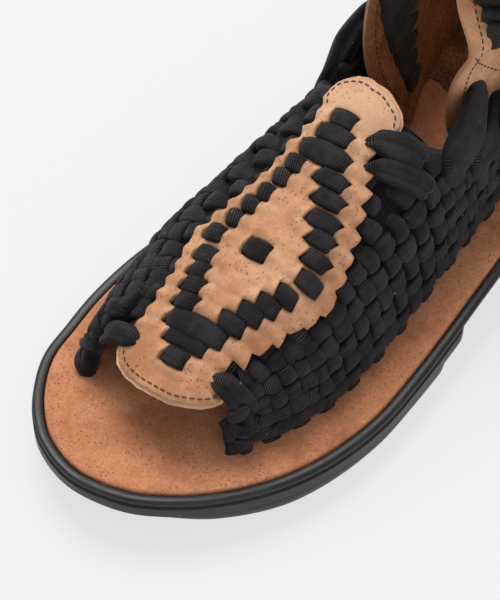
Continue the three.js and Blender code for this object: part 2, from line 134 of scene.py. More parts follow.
# %% Points on the arch, by station and by turn round the section
def arch_point(station, turn):
    """The turn is 0 at the outer foot, a right angle at the ridge and two at the inner foot."""
    station, turn = np.broadcast_arrays(np.asarray(station, float), np.asarray(turn, float))
    outer = np.cos(turn) > 0
    sign = np.where(outer, 1.0, -1.0)
    ridge = read(ARCH, "ridge", station)
    outer_foot = read(EDGE, "lateral", station) - read(ARCH, "lateral_inset", station)
    inner_foot = read(EDGE, "medial", station) + read(ARCH, "medial_inset", station)
    reach = np.abs(np.where(outer, outer_foot, inner_foot) - ridge)
    height = read(ARCH, "height", station)
    fullness = read(ARCH, "fullness", station)
    across = np.abs(np.cos(turn)) ** (2 / fullness)
    up = np.maximum(0, np.sin(turn)) ** (2 / fullness)
    x = ridge + sign * reach * across
    return np.stack([x, -station, footbed_top(station) + height * up], axis=-1)


print("the ridge at station 200:", arch_point(200, math.pi / 2).round(1))

# %% Each side's length of arc, looked up from a grid of stations and shares of that length
LOOKUP_STEP = 2.0
LOOKUP_STATIONS = np.arange(50.0, 265.0, LOOKUP_STEP)
SHARES = np.linspace(0, 1, 101)


def side_lookup(far_turn):
    """For one side: the arch's length at each station, and its turn and height by share of length."""
    turns = np.linspace(math.pi / 2, far_turn, 161)
    lengths, turn_at, height_at = [], [], []
    for station in LOOKUP_STATIONS:
        points = arch_point(station, turns)
        steps = np.linalg.norm(np.diff(points, axis=0), axis=1)
        travelled = np.concatenate([[0], np.cumsum(steps)])
        lengths.append(travelled[-1])
        turn_at.append(np.interp(SHARES * travelled[-1], travelled, turns))
        height_at.append(np.interp(SHARES * travelled[-1], travelled, points[:, 2]))
    return np.array(lengths), np.array(turn_at), np.array(height_at)


OUTER, INNER = side_lookup(0.0), side_lookup(math.pi)


def arch_length(side, station):
    return np.interp(station, LOOKUP_STATIONS, (OUTER if side > 0 else INNER)[0])


def look_up(grid, station, share):
    """A value between the four nearest places of a grid."""
    row = np.clip((station - LOOKUP_STATIONS[0]) / LOOKUP_STEP, 0, len(LOOKUP_STATIONS) - 1.001)
    column = np.clip(share * 100, 0, 99.999)
    r, c = row.astype(int), column.astype(int)
    down, right = row - r, column - c
    low = grid[r, c] * (1 - right) + grid[r, c + 1] * right
    high = grid[r + 1, c] * (1 - right) + grid[r + 1, c + 1] * right
    return low * (1 - down) + high * down


print("arch length at station 200:", round(float(arch_length(1, 200.0)), 1), "mm on the outer side")

# %% Points on the arch by station and arc, and which way is out
def on_arch(station, arc):
    station, arc = np.broadcast_arrays(np.asarray(station, float), np.asarray(arc, float))
    outer = arc > 0
    length = np.where(outer, arch_length(1, station), arch_length(-1, station))
    share = np.abs(arc) / length
    turn = np.where(outer, look_up(OUTER[1], station, share), look_up(INNER[1], station, share))
    point = arch_point(station, turn)
    point[..., 2] -= np.maximum(0, np.abs(arc) - length)
    return point


def unit(vectors_in):
    return vectors_in / np.linalg.norm(vectors_in, axis=-1, keepdims=True)


def outward(station, arc):
    """Unit vectors square to the arch, at places on it."""
    forward = on_arch(station + 0.5, arc) - on_arch(station - 0.5, arc)
    around = on_arch(station, arc + 0.4) - on_arch(station, arc - 0.4)
    return unit(np.cross(unit(forward), unit(around)))


def arc_at_height(side, station, height):
    """The arc at which one side of the arch is a given height above the footbed."""
    heights = look_up((OUTER if side > 0 else INNER)[2], np.full(101, float(station)), SHARES)
    share = np.interp(-(height + footbed_top(station)), -heights, SHARES)
    return side * share * arch_length(side, station)


print("30 mm up the outer side at station 200 is at arc", round(float(arc_at_height(1, 200.0, 30)), 1))

# %% [markdown]
# ## The counter round the heel
# The counter is a leather wall. Eleven upright lines run from the inner flap round the heel to the outer
# flap, each through a low, a middle and a top point, with smooth curves from line to line. A place on
# the wall is named by its *row*, counted in lines from the inner flap, and its *share* of the way up.

# %% The upright lines, and a curve through points
COUNTER = table("low_x low_at low mid_x mid_at top_x top_at top",
                (-13, 103, 3, -20, 120, -26, 112, 73), (-19.5, 89, 2, -23.5, 100, -27, 94, 74),
                (-25, 70, -3, -26, 73, -26, 70, 69), (-27.5, 44, -3, -29, 45, -25.5, 48, 69),
                (-21.5, 18, -3, -22.5, 16, -19, 24, 76), (0, 6.5, -3, 0, 3, 0, 12, 81),
                (21.5, 18, -3, 23, 16, 19, 24, 76), (28.5, 44, -3, 29.5, 45, 25.5, 48, 69),
                (28, 70, -3, 26.5, 73, 24, 70, 71), (24.5, 90, 2, 20.5, 99, 22, 94, 78),
                (20, 105, 3, 14.5, 119, 21, 113, 83))
COUNTER_MIDDLE = 40  # height of the middle points above the footbed
COUNTER_THICK = 2.4
LAST = len(COUNTER["low"]) - 1


def smooth_through(points, t):
    """Catmull-Rom curve through points, spaced by the root of their distance."""
    before = 2 * points[0] - points[1]
    after = 2 * points[-1] - points[-2]
    p = np.vstack([before, points, after])
    i = np.clip(np.floor(t).astype(int), 0, len(points) - 2)
    w = (t - i)[:, None]
    p0, p1, p2, p3 = p[i], p[i + 1], p[i + 2], p[i + 3]
    d0, d1, d2 = (np.sqrt(np.linalg.norm(b - a, axis=1, keepdims=True))
                  for a, b in ((p0, p1), (p1, p2), (p2, p3)))
    m1 = ((p1 - p0) / d0 - (p2 - p0) / (d0 + d1) + (p2 - p1) / d1) * d1
    m2 = ((p2 - p1) / d1 - (p3 - p1) / (d1 + d2) + (p3 - p2) / d2) * d1
    return (p1 + m1 * w + (3 * (p2 - p1) - 2 * m1 - m2) * w ** 2
            + (2 * (p1 - p2) + m1 + m2) * w ** 3)


print("the counter has", LAST + 1, "upright lines")

# %% Points on the counter
def counter_levels(row):
    """The low, the middle and the top points of places along the wall."""
    levels = []
    for level, height in (("low", COUNTER["low"]), ("mid", COUNTER_MIDDLE), ("top", COUNTER["top"])):
        station = COUNTER[level + "_at"]
        points = np.stack([COUNTER[level + "_x"], -station, height + footbed_top(station)], axis=1)
        levels.append(smooth_through(points, np.clip(row, 0, LAST)))
    return levels


def counter_face(row, share, lift=0.0):
    """Places on the wall's outer face, or lifted off it. The lines are bent through three points."""
    row, share, lift = (np.asarray(v, float) for v in np.broadcast_arrays(row, share, lift))
    shape = row.shape
    row, share, lift = row.ravel(), share.ravel()[:, None], lift.ravel()[:, None]

    def place(r, s):
        low, mid, top = counter_levels(r)
        return 2 * (s - 0.5) * (s - 1) * low - 4 * s * (s - 1) * mid + 2 * s * (s - 0.5) * top

    along = place(row + 0.05, share) - place(row - 0.05, share)
    up = place(row, share + 0.05) - place(row, share - 0.05)
    return (place(row, share) + unit(np.cross(up, along)) * lift).reshape(shape + (3,))


heel_back = placed(counter_face(5.0, 1.0))
print("top of the heel at", [round(float(v), 4) for v in heel_back])

# %% [markdown]
# ## Camera, light and floor
# The camera comes first, so that every piece can be judged in it as it is made. It looks down on the
# shoe from the toe's outer side, through a long lens that keeps the sole's two edges nearly parallel.

# %% Camera
AZIMUTH, ELEVATION = math.radians(39), math.radians(54)
DISTANCE = 1.0  # metres from the point that it looks at
AIM = Vector(placed((0, -194, 16)))
BACK = Vector((math.sin(AZIMUTH) * math.cos(ELEVATION),
               -math.cos(AZIMUTH) * math.cos(ELEVATION),
               math.sin(ELEVATION)))
camera_data = bpy.data.cameras.new("camera")
camera = bpy.data.objects.new("camera", camera_data)
bpy.context.scene.collection.objects.link(camera)
camera.location = AIM + BACK * DISTANCE
camera.rotation_euler = BACK.to_track_quat("Z", "Y").to_euler()
camera_data.lens = 176.8
camera_data.sensor_width = 36
camera_data.shift_x = -0.041
camera_data.shift_y = 0.0245
bpy.context.scene.camera = camera
print("camera", [round(v, 3) for v in camera.location])

# %% Soft studio light: a pale world, a broad key and a low fill
world = bpy.data.worlds.new("studio")
bpy.context.scene.world = world
world.use_nodes = True
background = world.node_tree.nodes["Background"]
background.inputs["Color"].default_value = (0.985, 0.98, 0.985, 1)
background.inputs["Strength"].default_value = 0.52
bpy.context.scene.view_settings.view_transform = "Standard"


def area_light(name, offset, size, power, colour):
    """A round soft light, set off from the point that the camera looks at and turned to it."""
    lamp = bpy.data.lights.new(name, "AREA")
    lamp.shape = "DISK"
    lamp.size = size
    lamp.energy = power
    lamp.color = colour
    holder = bpy.data.objects.new(name, lamp)
    bpy.context.scene.collection.objects.link(holder)
    holder.location = AIM + Vector(offset)
    holder.rotation_euler = Vector(offset).to_track_quat("Z", "Y").to_euler()
    print(name, "light:", power, "W,", size, "m across")


area_light("key", (-1.2, 0.9, 2.5), 1.7, 67.0, (1.0, 0.985, 0.96))
area_light("fill", (1.6, -1.4, 1.7), 2.2, 7.0, (1.0, 0.99, 0.98))

# %% [markdown]
# ## Nodes in one line each
# Geometry and shader trees are long lists of boxes and wires. This helper adds one node, sets its
# options, and either wires an input or gives it a value, so that a tree reads from top to bottom.

# %% Node helper
def add(tree, kind, inputs=None, **settings):
    node = tree.nodes.new(kind)
    for name, value in settings.items():
        setattr(node, name, value)
    for name, value in (inputs or {}).items():
        if isinstance(value, bpy.types.NodeSocket):
            tree.links.new(value, node.inputs[name])
        else:
            node.inputs[name].default_value = value
    return node


def maths(tree, operation, a, b=None):
    inputs = {0: a} if b is None else {0: a, 1: b}
    return add(tree, "ShaderNodeMath", inputs, operation=operation).outputs[0]


def times(tree, a, b):
    return maths(tree, "MULTIPLY", a, b)


def plus(tree, a, b):
    return maths(tree, "ADD", a, b)


def minus(tree, a, b):
    return maths(tree, "SUBTRACT", a, b)


def vectors(tree, operation, a, b=None, scale=None):
    inputs = {0: a}
    if b is not None:
        inputs[1] = b
    if scale is not None:
        inputs["Scale"] = scale
    return add(tree, "ShaderNodeVectorMath", inputs, operation=operation).outputs[0]


print("helpers:", add.__name__, maths.__name__, vectors.__name__)

# %% [markdown]
# ## Materials
# The shoe has three leathers, one cloth, one rubber and one thread. Painted pictures could be wrapped
# round them, but patterns worked out in the shader need no pictures and have no seams. Three effects are
# groups with named inputs: a napped hide with pores and blotches for every leather, a ribbed cloth, and
# pale flecks, which are lint on the cloth and dust on the rubber. A group hands over colours, masks,
# heights and roughness only, and each material wires them into its own shader.

# %% A shader group with named sockets
def shader_group(name, inputs, outputs):
    tree = bpy.data.node_groups.new(name, "ShaderNodeTree")
    for label, kind, value in inputs:
        socket = tree.interface.new_socket(label, in_out="INPUT", socket_type="NodeSocket" + kind)
        socket.default_value = value
    for label, kind in outputs:
        tree.interface.new_socket(label, in_out="OUTPUT", socket_type="NodeSocket" + kind)
    return tree, tree.nodes.new("NodeGroupInput").outputs, tree.nodes.new("NodeGroupOutput").inputs


def noise(tree, place, scale, detail=3.0, rough=0.55):
    inputs = {"Vector": place, "Scale": scale, "Detail": detail, "Roughness": rough}
    return add(tree, "ShaderNodeTexNoise", inputs).outputs[0]


def dots(tree, place, scale):
    """Cells round scattered points: their distance to the point, and a random colour for each."""
    inputs = {"Vector": place, "Scale": scale, "Randomness": 1.0}
    return add(tree, "ShaderNodeTexVoronoi", inputs).outputs


def ramp(tree, value, low, high, to_low=0.0, to_high=1.0):
    inputs = {"Value": value, "From Min": low, "From Max": high, "To Min": to_low, "To Max": to_high}
    return add(tree, "ShaderNodeMapRange", inputs, clamp=True,
               interpolation_type="SMOOTHSTEP").outputs[0]


def mixed(tree, share, first, second):
    inputs = {0: share, 6: first, 7: second}
    return add(tree, "ShaderNodeMix", inputs, data_type="RGBA").outputs[2]


def wave(tree, value, pitch):
    """A sine from 0 to 1 with one crest in every pitch."""
    turns = times(tree, maths(tree, "DIVIDE", value, pitch), 2 * math.pi)
    return plus(tree, times(tree, maths(tree, "SINE", turns), 0.5), 0.5)


print("helpers:", shader_group.__name__, noise.__name__, dots.__name__, ramp.__name__, mixed.__name__)


# %% Napped hide: blotches, brushed nap, pores
def make_hide():
    tree, given, result = shader_group(
        "napped hide",
        [("Place", "Vector", (0, 0, 0)), ("Light", "Color", (0.7, 0.4, 0.2, 1)),
         ("Middle", "Color", (0.5, 0.3, 0.15, 1)), ("Dark", "Color", (0.3, 0.15, 0.07, 1)),
         ("Pores", "Float", 0.5), ("Blotches", "Float", 0.5), ("Nap", "Float", 0.5)],
        [("Colour", "Color"), ("Height", "Float"), ("Roughness", "Float")])
    place = given["Place"]
    wide = noise(tree, place, 50.0, 4.0, 0.6)
    middle = noise(tree, place, 190.0, 4.0, 0.65)
    cloudy = plus(tree, times(tree, wide, 0.6), times(tree, middle, 0.4))
    pale = times(tree, ramp(tree, cloudy, 0.47, 0.66), given["Blotches"])
    deep = times(tree, ramp(tree, cloudy, 0.52, 0.34), given["Blotches"])
    colour = mixed(tree, pale, given["Middle"], given["Light"])
    colour = mixed(tree, deep, colour, given["Dark"])

    fine = times(tree, noise(tree, place, 900.0, 3.0, 0.7), 0.55)
    fine = plus(tree, fine, times(tree, noise(tree, place, 2100.0, 2.0, 0.6), 0.45))
    brushed_away = minus(tree, 1.0, ramp(tree, fine, 0.4, 0.6))
    nap = times(tree, brushed_away, times(tree, given["Nap"], 0.55))
    colour = mixed(tree, nap, colour, given["Dark"])

    patchy = ramp(tree, noise(tree, place, 95.0, 2.0), 0.4, 0.55)
    pore = ramp(tree, dots(tree, place, 640.0)["Distance"], 0.25, 0.13)
    pore = times(tree, times(tree, pore, patchy), given["Pores"])
    colour = mixed(tree, times(tree, pore, 0.7), colour, given["Dark"])
    speck = ramp(tree, dots(tree, place, 1150.0)["Distance"], 0.22, 0.1)
    speck = times(tree, speck, given["Pores"])
    colour = mixed(tree, times(tree, speck, 0.4), colour, given["Dark"])

    height = plus(tree, times(tree, fine, times(tree, given["Nap"], 0.5)), times(tree, middle, 0.5))
    height = minus(tree, height, times(tree, pore, 0.6))
    tree.links.new(colour, result["Colour"])
    tree.links.new(height, result["Height"])
    tree.links.new(ramp(tree, fine, 0.3, 0.7, 0.8, 0.97), result["Roughness"])
    return tree


HIDE = make_hide()
print("hide group:", len(HIDE.nodes), "nodes")

# %% Ribbed cloth: ribs across the strip, crossed by fine threads
def make_ribs():
    tree, given, result = shader_group(
        "ribbed cloth",
        [("Flat", "Vector", (0, 0, 0)), ("Pitch", "Float", 0.6), ("Thread pitch", "Float", 0.42),
         ("Colour", "Color", (0.02, 0.02, 0.02, 1)), ("Crest highlight", "Color", (0.05, 0.05, 0.05, 1))],
        [("Colour", "Color"), ("Height", "Float")])
    parts = add(tree, "ShaderNodeSeparateXYZ", {0: given["Flat"]}).outputs
    slow = noise(tree, vectors(tree, "SCALE", given["Flat"], scale=0.35), 1.0, 2.0)
    rib = wave(tree, plus(tree, parts["Y"], times(tree, slow, 0.4)), given["Pitch"])
    thread = wave(tree, parts["X"], given["Thread pitch"])
    height = plus(tree, times(tree, rib, 0.8), times(tree, thread, 0.2))
    # Painted highlight and shade: each rib and thread is painted towards the crest colour on its crest
    # and darker in its troughs.
    tree.links.new(mixed(tree, ramp(tree, height, 0.35, 1.0), given["Colour"], given["Crest highlight"]),
                   result["Colour"])
    drawn = vectors(tree, "MULTIPLY", given["Flat"], (0.75, 0.11, 1.0))
    crease = maths(tree, "ABSOLUTE", minus(tree, noise(tree, drawn, 1.0, 2.0), 0.5))
    height = plus(tree, height, times(tree, ramp(tree, crease, 0.0, 0.07), 2.4))
    tree.links.new(height, result["Height"])
    return tree


RIBS = make_ribs()
print("ribbed cloth group:", len(RIBS.nodes), "nodes")

# %% Lint and dust: rare pale flecks
def make_flecks():
    tree, given, result = shader_group(
        "flecks",
        [("Place", "Vector", (0, 0, 0)), ("Scale", "Float", 300.0), ("Amount", "Float", 0.5)],
        [("Mask", "Float")])
    stretched = vectors(tree, "MULTIPLY", given["Place"], (1.0, 0.45, 1.0))
    cells = dots(tree, stretched, given["Scale"])
    lone = add(tree, "ShaderNodeSeparateXYZ", {0: cells["Color"]}).outputs["X"]
    chosen = maths(tree, "LESS_THAN", lone, times(tree, given["Amount"], 0.16))
    dot = ramp(tree, cells["Distance"], 0.16, 0.05)
    tree.links.new(times(tree, chosen, dot), result["Mask"])
    return tree


FLECKS = make_flecks()
print("flecks group:", len(FLECKS.nodes), "nodes")

# %% One new material, and its links to a group and to the shader
def new_material(name, rough, sheen, tint, specular):
    material = bpy.data.materials.new(name)
    material.use_nodes = True
    tree = material.node_tree
    shader = tree.nodes["Principled BSDF"]
    shader.inputs["Roughness"].default_value = rough
    shader.inputs["Sheen Weight"].default_value = sheen
    shader.inputs["Sheen Roughness"].default_value = 0.5
    shader.inputs["Sheen Tint"].default_value = (*tint, 1)
    shader.inputs["Specular IOR Level"].default_value = specular
    return material, tree, shader


def grouped(tree, which, inputs):
    return add(tree, "ShaderNodeGroup", inputs, node_tree=which).outputs


def bumped(tree, shader, height, strength, distance):
    bump = add(tree, "ShaderNodeBump", {"Strength": strength, "Distance": distance, "Height": height})
    tree.links.new(bump.outputs["Normal"], shader.inputs["Normal"])


def object_place(tree):
    return add(tree, "ShaderNodeTexCoord").outputs["Object"]


def stored_number(tree, name):
    return add(tree, "ShaderNodeAttribute", attribute_name=name).outputs["Fac"]


print("helpers:", new_material.__name__, grouped.__name__, bumped.__name__)

# %% [markdown]
# The panel and the counter are the same tan nubuck, full of pores. The footbed is redder, darker and
# more brushed. The inside of the counter and the heel pad are suede, with a long nap and no pores. All
# three are one recipe with different numbers. Two numbers stored on the mesh say where the hide is cut,
# which bares its paler or darker inside, and where it is painted paler: on the frayed under layer, in a
# band beside each slit, and as a pool of painted light on the panel's throat end.

# %% Three leathers
# Pale tan, for frayed leather and for the painted light on the panel's throat end.
WORN_AND_PAINTED_LIGHT = (0.86, 0.62, 0.43, 1)


def hide_material(name, light, middle, dark, cut, pores, blotches, nap, bump, sheen=0.12, depth=0.0005):
    material, tree, shader = new_material(name, 0.92, sheen, light, 0.3)
    look = grouped(tree, HIDE, {"Place": object_place(tree), "Light": (*light, 1), "Middle": (*middle, 1),
                                "Dark": (*dark, 1), "Pores": pores, "Blotches": blotches, "Nap": nap})
    # Paler where the mesh says so: frayed leather, a band beside each slit, and painted light at the
    # panel's throat end.
    colour = mixed(tree, stored_number(tree, "worn"), look["Colour"], WORN_AND_PAINTED_LIGHT)
    colour = mixed(tree, times(tree, stored_number(tree, "cut"), 0.85), colour, (*cut, 1))
    tree.links.new(colour, shader.inputs["Base Color"])
    tree.links.new(look["Roughness"], shader.inputs["Roughness"])
    bumped(tree, shader, look["Height"], bump, depth)
    return material


tan_leather = hide_material(
    "tan leather", light=(0.80, 0.49, 0.30), middle=(0.59, 0.30, 0.158), dark=(0.33, 0.125, 0.048),
    cut=(0.36, 0.19, 0.10), pores=1.0, blotches=0.62, nap=0.5, bump=0.9)
footbed_leather = hide_material(
    "footbed leather", light=(0.70, 0.32, 0.165), middle=(0.58, 0.245, 0.12), dark=(0.36, 0.13, 0.057),
    cut=(0.4, 0.17, 0.08), pores=0.9, blotches=0.9, nap=1.0, bump=1.0)
suede = hide_material(
    "suede", light=(0.60, 0.265, 0.10), middle=(0.37, 0.15, 0.053), dark=(0.11, 0.04, 0.014),
    cut=(0.3, 0.14, 0.07), pores=0.0, blotches=1.0, nap=1.7, bump=1.0, sheen=0.3, depth=0.0011)
print("leathers:", tan_leather.name, footbed_leather.name, suede.name)

# %% [markdown]
# The strips are black ribbed cloth, drawn into long creases, with a few specks of lint. The cloth reads
# the strip's own flat coordinates, in millimetres, so the ribs run across every strip however it turns.
# Shade is painted on it: it is blacker down at a strip's sides and in its fold than on its crown, and
# each rib is painted lighter on its crest than in its troughs, a painted highlight.

# %% Cloth of the strips
cloth, tree, shader = new_material("strip cloth", 0.85, 0.1, (0.6, 0.58, 0.62), 0.22)
flat = add(tree, "ShaderNodeUVMap", uv_map="UVMap").outputs["UV"]
look = grouped(tree, RIBS, {"Flat": flat, "Pitch": 0.52, "Colour": (0.0055, 0.005, 0.0058, 1),
                            "Crest highlight": (0.046, 0.0435, 0.0485, 1)})
uneven = ramp(tree, noise(tree, object_place(tree), 120.0, 2.0), 0.35, 0.65, 0.55, 1.35)
lint = grouped(tree, FLECKS, {"Place": object_place(tree), "Scale": 420.0, "Amount": 0.32})
# Painted shade: the cloth is darker at a strip's sides and in its fold than on its crown.
uneven = times(tree, uneven, ramp(tree, stored_number(tree, "crown"), 0.15, 0.85, 0.16, 1.1))
tone_and_painted_shade = vectors(tree, "SCALE", look["Colour"], scale=uneven)
tree.links.new(mixed(tree, times(tree, lint["Mask"], 0.5), tone_and_painted_shade, (0.34, 0.34, 0.36, 1)),
               shader.inputs["Base Color"])
bumped(tree, shader, look["Height"], 0.6, 0.00016)
print("cloth:", cloth.name)

# %% Rubber of the sole
rubber, tree, shader = new_material("sole rubber", 0.5, 0.0, (1, 1, 1), 0.42)
place = object_place(tree)
grain = noise(tree, place, 1500.0, 2.0, 0.5)
scuffs = ramp(tree, noise(tree, place, 45.0, 5.0, 0.65), 0.5, 0.75)
colour = mixed(tree, scuffs, (0.008, 0.0085, 0.009, 1), (0.026, 0.027, 0.028, 1))
dust = grouped(tree, FLECKS, {"Place": place, "Scale": 240.0, "Amount": 0.3})
tree.links.new(mixed(tree, times(tree, dust["Mask"], 0.3), colour, (0.3, 0.3, 0.3, 1)),
               shader.inputs["Base Color"])
tree.links.new(ramp(tree, scuffs, 0.0, 1.0, 0.4, 0.58), shader.inputs["Roughness"])
bumped(tree, shader, grain, 0.25, 0.0001)
print("rubber:", rubber.name)

# %% Thread
thread, tree, shader = new_material("thread", 0.7, 0.2, (0.6, 0.4, 0.3), 0.4)
shade = noise(tree, object_place(tree), 700.0, 2.0)
tree.links.new(mixed(tree, shade, (0.05, 0.02, 0.01, 1), (0.11, 0.05, 0.025, 1)),
               shader.inputs["Base Color"])
bumped(tree, shader, shade, 0.4, 0.0001)
print("materials:", sorted(m.name for m in bpy.data.materials))

# %% [markdown]
# ## One strip of the weave
# Each strip is a tube of stretch cloth rolled on itself: a lens in section, fat where it comes over its
# neighbour and pinched where it dives under. It could be modelled by hand, one strip at a time, but
# they all follow one rule, so Geometry Nodes sweep them. A strip starts as a rail: a line of points,
# each carrying a `side` vector (half the width), an `upward` vector (half the thickness), the distance
# travelled and the place of a lengthwise fold. The tree draws a circle round the rail and moves every
# point of it to centre + side * x + upward * y.

# %% Helpers for geometry trees
def new_tree(name, *sockets):
    tree = bpy.data.node_groups.new(name, "GeometryNodeTree")
    tree.interface.new_socket("Geometry", in_out="OUTPUT", socket_type="NodeSocketGeometry")
    for label, kind in sockets:
        tree.interface.new_socket(label, in_out="INPUT", socket_type="NodeSocket" + kind)
    return tree, tree.nodes.new("NodeGroupInput").outputs, tree.nodes.new("NodeGroupOutput")


def stored(tree, geometry, name, value, data_type="FLOAT_VECTOR", domain="POINT"):
    inputs = {"Geometry": geometry, "Name": name, "Value": value}
    kind = "GeometryNodeStoreNamedAttribute"
    return add(tree, kind, inputs, data_type=data_type, domain=domain).outputs["Geometry"]


def named(tree, name, data_type="FLOAT_VECTOR"):
    kind = "GeometryNodeInputNamedAttribute"
    return add(tree, kind, {"Name": name}, data_type=data_type).outputs["Attribute"]


def closed_tree(tree, result, geometry, material):
    """Every tree ends alike: instances made real, smooth shading and one material."""
    made = add(tree, "GeometryNodeRealizeInstances", {"Geometry": geometry}).outputs[0]
    made = add(tree, "GeometryNodeSetShadeSmooth", {"Geometry": made}).outputs[0]
    made = add(tree, "GeometryNodeSetMaterial", {"Geometry": made, "Material": material}).outputs[0]
    tree.links.new(made, result.inputs["Geometry"])
    print(tree.name, "tree:", len(tree.nodes), "nodes")
    return tree


print("helpers:", new_tree.__name__, stored.__name__, named.__name__, closed_tree.__name__)

# %% The strip tree
FOLD_WIDTH = 0.17  # as a share of the strip's half width
METRES_TO_MILLIMETRES = 1000.0


def make_strip_tree():
    tree, given, result = new_tree("woven strip", ("Rails", "Geometry"), ("Section points", "Int"),
                                   ("Fullness", "Float"), ("Fold depth", "Float"),
                                   ("Cloth", "Material"))
    here = add(tree, "GeometryNodeInputPosition").outputs[0]
    rails = stored(tree, given["Rails"], "centre", here)
    line = add(tree, "GeometryNodeMeshToCurve", {"Mesh": rails}).outputs["Curve"]
    ring = add(tree, "GeometryNodeCurvePrimitiveCircle",
               {"Resolution": given["Section points"], "Radius": 1.0}).outputs["Curve"]
    ring = stored(tree, ring, "section", here)
    skin = add(tree, "GeometryNodeCurveToMesh",
               {"Curve": line, "Profile Curve": ring, "Fill Caps": True}).outputs["Mesh"]
    section = add(tree, "ShaderNodeSeparateXYZ", {0: named(tree, "section")}).outputs
    across, over = section["X"], section["Y"]
    flatter = maths(tree, "POWER", maths(tree, "ABSOLUTE", over), given["Fullness"])
    over = times(tree, maths(tree, "SIGN", over), flatter)
    from_fold = minus(tree, across, named(tree, "fold", "FLOAT"))
    from_fold = maths(tree, "DIVIDE", from_fold, FOLD_WIDTH)
    dent = maths(tree, "EXPONENT", times(tree, times(tree, from_fold, from_fold), -1.0))
    dent = minus(tree, 1.0, times(tree, dent, given["Fold depth"]))
    over = times(tree, over, dent)
    place = vectors(tree, "ADD", named(tree, "centre"),
                    vectors(tree, "SCALE", named(tree, "side"), scale=across))
    place = vectors(tree, "ADD", place, vectors(tree, "SCALE", named(tree, "upward"), scale=over))
    skin = add(tree, "GeometryNodeSetPosition", {"Geometry": skin, "Position": place}).outputs[0]

    width = add(tree, "ShaderNodeVectorMath", {0: named(tree, "side")}, operation="LENGTH")
    sideways = times(tree, times(tree, across, width.outputs["Value"]), METRES_TO_MILLIMETRES)
    flat = add(tree, "ShaderNodeCombineXYZ", {"X": sideways, "Y": named(tree, "travelled", "FLOAT")})
    skin = stored(tree, skin, "UVMap", flat.outputs[0], "FLOAT2", "CORNER")
    # How near a point is to the strip's crown, less at the sides and in the fold; the cloth paints shade
    # where it is low.
    level = minus(tree, 1.0, times(tree, across, across))
    crown = times(tree, maths(tree, "SQRT", level), dent)
    skin = stored(tree, skin, "crown", crown, "FLOAT")
    return closed_tree(tree, result, skin, given["Cloth"])


STRIP_TREE = make_strip_tree()

# %% [markdown]
# A rail is a mesh of bare edges with its numbers stored as attributes. After the tree has run, its
# evaluated result is kept as a plain mesh, so that nothing is left to work out later.

# %% One rail
NO_FOLD = 9.0  # a place far outside the section, which runs from -1 to 1


def rail(points, out, half_width, half_thick, skew=0.0, fold=NO_FOLD, start=0.0):
    """One strip's rail: centre points and outward directions in shoe millimetres."""
    points, out = np.asarray(points, float), np.asarray(out, float)
    count = len(points)
    along = unit(np.gradient(points, axis=0))
    out = unit(out - along * np.sum(out * along, axis=1, keepdims=True))
    across = np.cross(along, out)
    steps = np.linalg.norm(np.diff(points, axis=0), axis=1)
    column = [np.broadcast_to(v, count)[:, None] for v in (half_width, half_thick, skew)]
    return {"points": points, "side": across * column[0] + along * column[2],
            "upward": out * column[1], "travelled": start + np.concatenate([[0], np.cumsum(steps)]),
            "fold": np.broadcast_to(fold, count)}


print("a rail holds", sorted(rail([(0, 0, 0), (1, 0, 0)], [(0, 0, 1)] * 2, 1.0, 1.0)))

# %% Rails, and other points in shoe millimetres, made into a mesh
def shoe_mesh(name, points, edges=(), faces=(), sharp_angle=None):
    mesh = bpy.data.meshes.new(name)
    mesh.from_pydata(placed(points).tolist(), edges, faces)
    if sharp_angle is not None:
        mesh.shade_smooth()
        mesh.set_sharp_from_angle(angle=math.radians(sharp_angle))
    return mesh


def keep_values(mesh, name, values):
    """Stores a number or a vector for each point of a mesh."""
    values = np.asarray(values, np.float32)
    kind, key = ("FLOAT_VECTOR", "vector") if values.ndim == 2 else ("FLOAT", "value")
    mesh.attributes.new(name, kind, "POINT").data.foreach_set(key, values.ravel())


def chains(lines):
    """Edges that join the points of each line in turn."""
    edges, first = [], 0
    for line in lines:
        edges += [(first + i, first + i + 1) for i in range(len(line) - 1)]
        first += len(line)
    return edges


def rails_mesh(name, rails):
    lines = [r["points"] for r in rails]
    mesh = shoe_mesh(name, np.vstack(lines), chains(lines))
    for key, scale in (("side", 1000), ("upward", 1000), ("travelled", 1), ("fold", 1)):
        keep_values(mesh, key, np.concatenate([r[key] for r in rails]) / scale)
    return mesh


print("helpers:", shoe_mesh.__name__, keep_values.__name__, chains.__name__, rails_mesh.__name__)

# %% Pieces grown by a tree, and finished pieces on the shoe
def grown(name, mesh, tree, settings, slot):
    """Runs a tree on a mesh and keeps the result as a finished piece on the shoe."""
    holder = bpy.data.objects.new(name + "_source", mesh)
    bpy.context.scene.collection.objects.link(holder)
    modifier = holder.modifiers.new("grow", "NODES")
    modifier.node_group = tree
    for item in tree.interface.items_tree:
        if item.in_out == "INPUT" and item.name in settings:
            modifier[item.identifier] = settings[item.name]
    bpy.context.view_layer.update()
    evaluated = holder.evaluated_get(bpy.context.evaluated_depsgraph_get())
    result = bpy.data.meshes.new_from_object(evaluated)
    bpy.data.objects.remove(holder)
    return finished(name, result, slot)


def finished(name, mesh, slot, *materials):
    mesh.name = name
    for material in materials:
        mesh.materials.append(material)
    piece = bpy.data.objects.new(name, mesh)
    bpy.context.scene.collection.objects.link(piece)
    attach(piece, "root")
    print(name, len(mesh.polygons), "faces")
    return piece


def strips(name, rails, points=14, fullness=0.8, fold_depth=0.45):
    settings = {"Section points": points, "Fullness": fullness, "Fold depth": fold_depth,
                "Cloth": cloth}
    return grown(name, rails_mesh(name + "_rails", rails), STRIP_TREE, settings, "strip_fabric")


print("helpers:", grown.__name__, finished.__name__, strips.__name__)

# %% [markdown]
# ## The panel's pattern
# Sixteen strips cross the instep from side to side, about 6 mm apart, and each shows where it comes up
# through the leather. The rows are counted from the toe. `station` is where a row crosses the ridge, and
# it drifts towards the heel on the outer side. `inner` and `outer` are the leather's edge in that row.

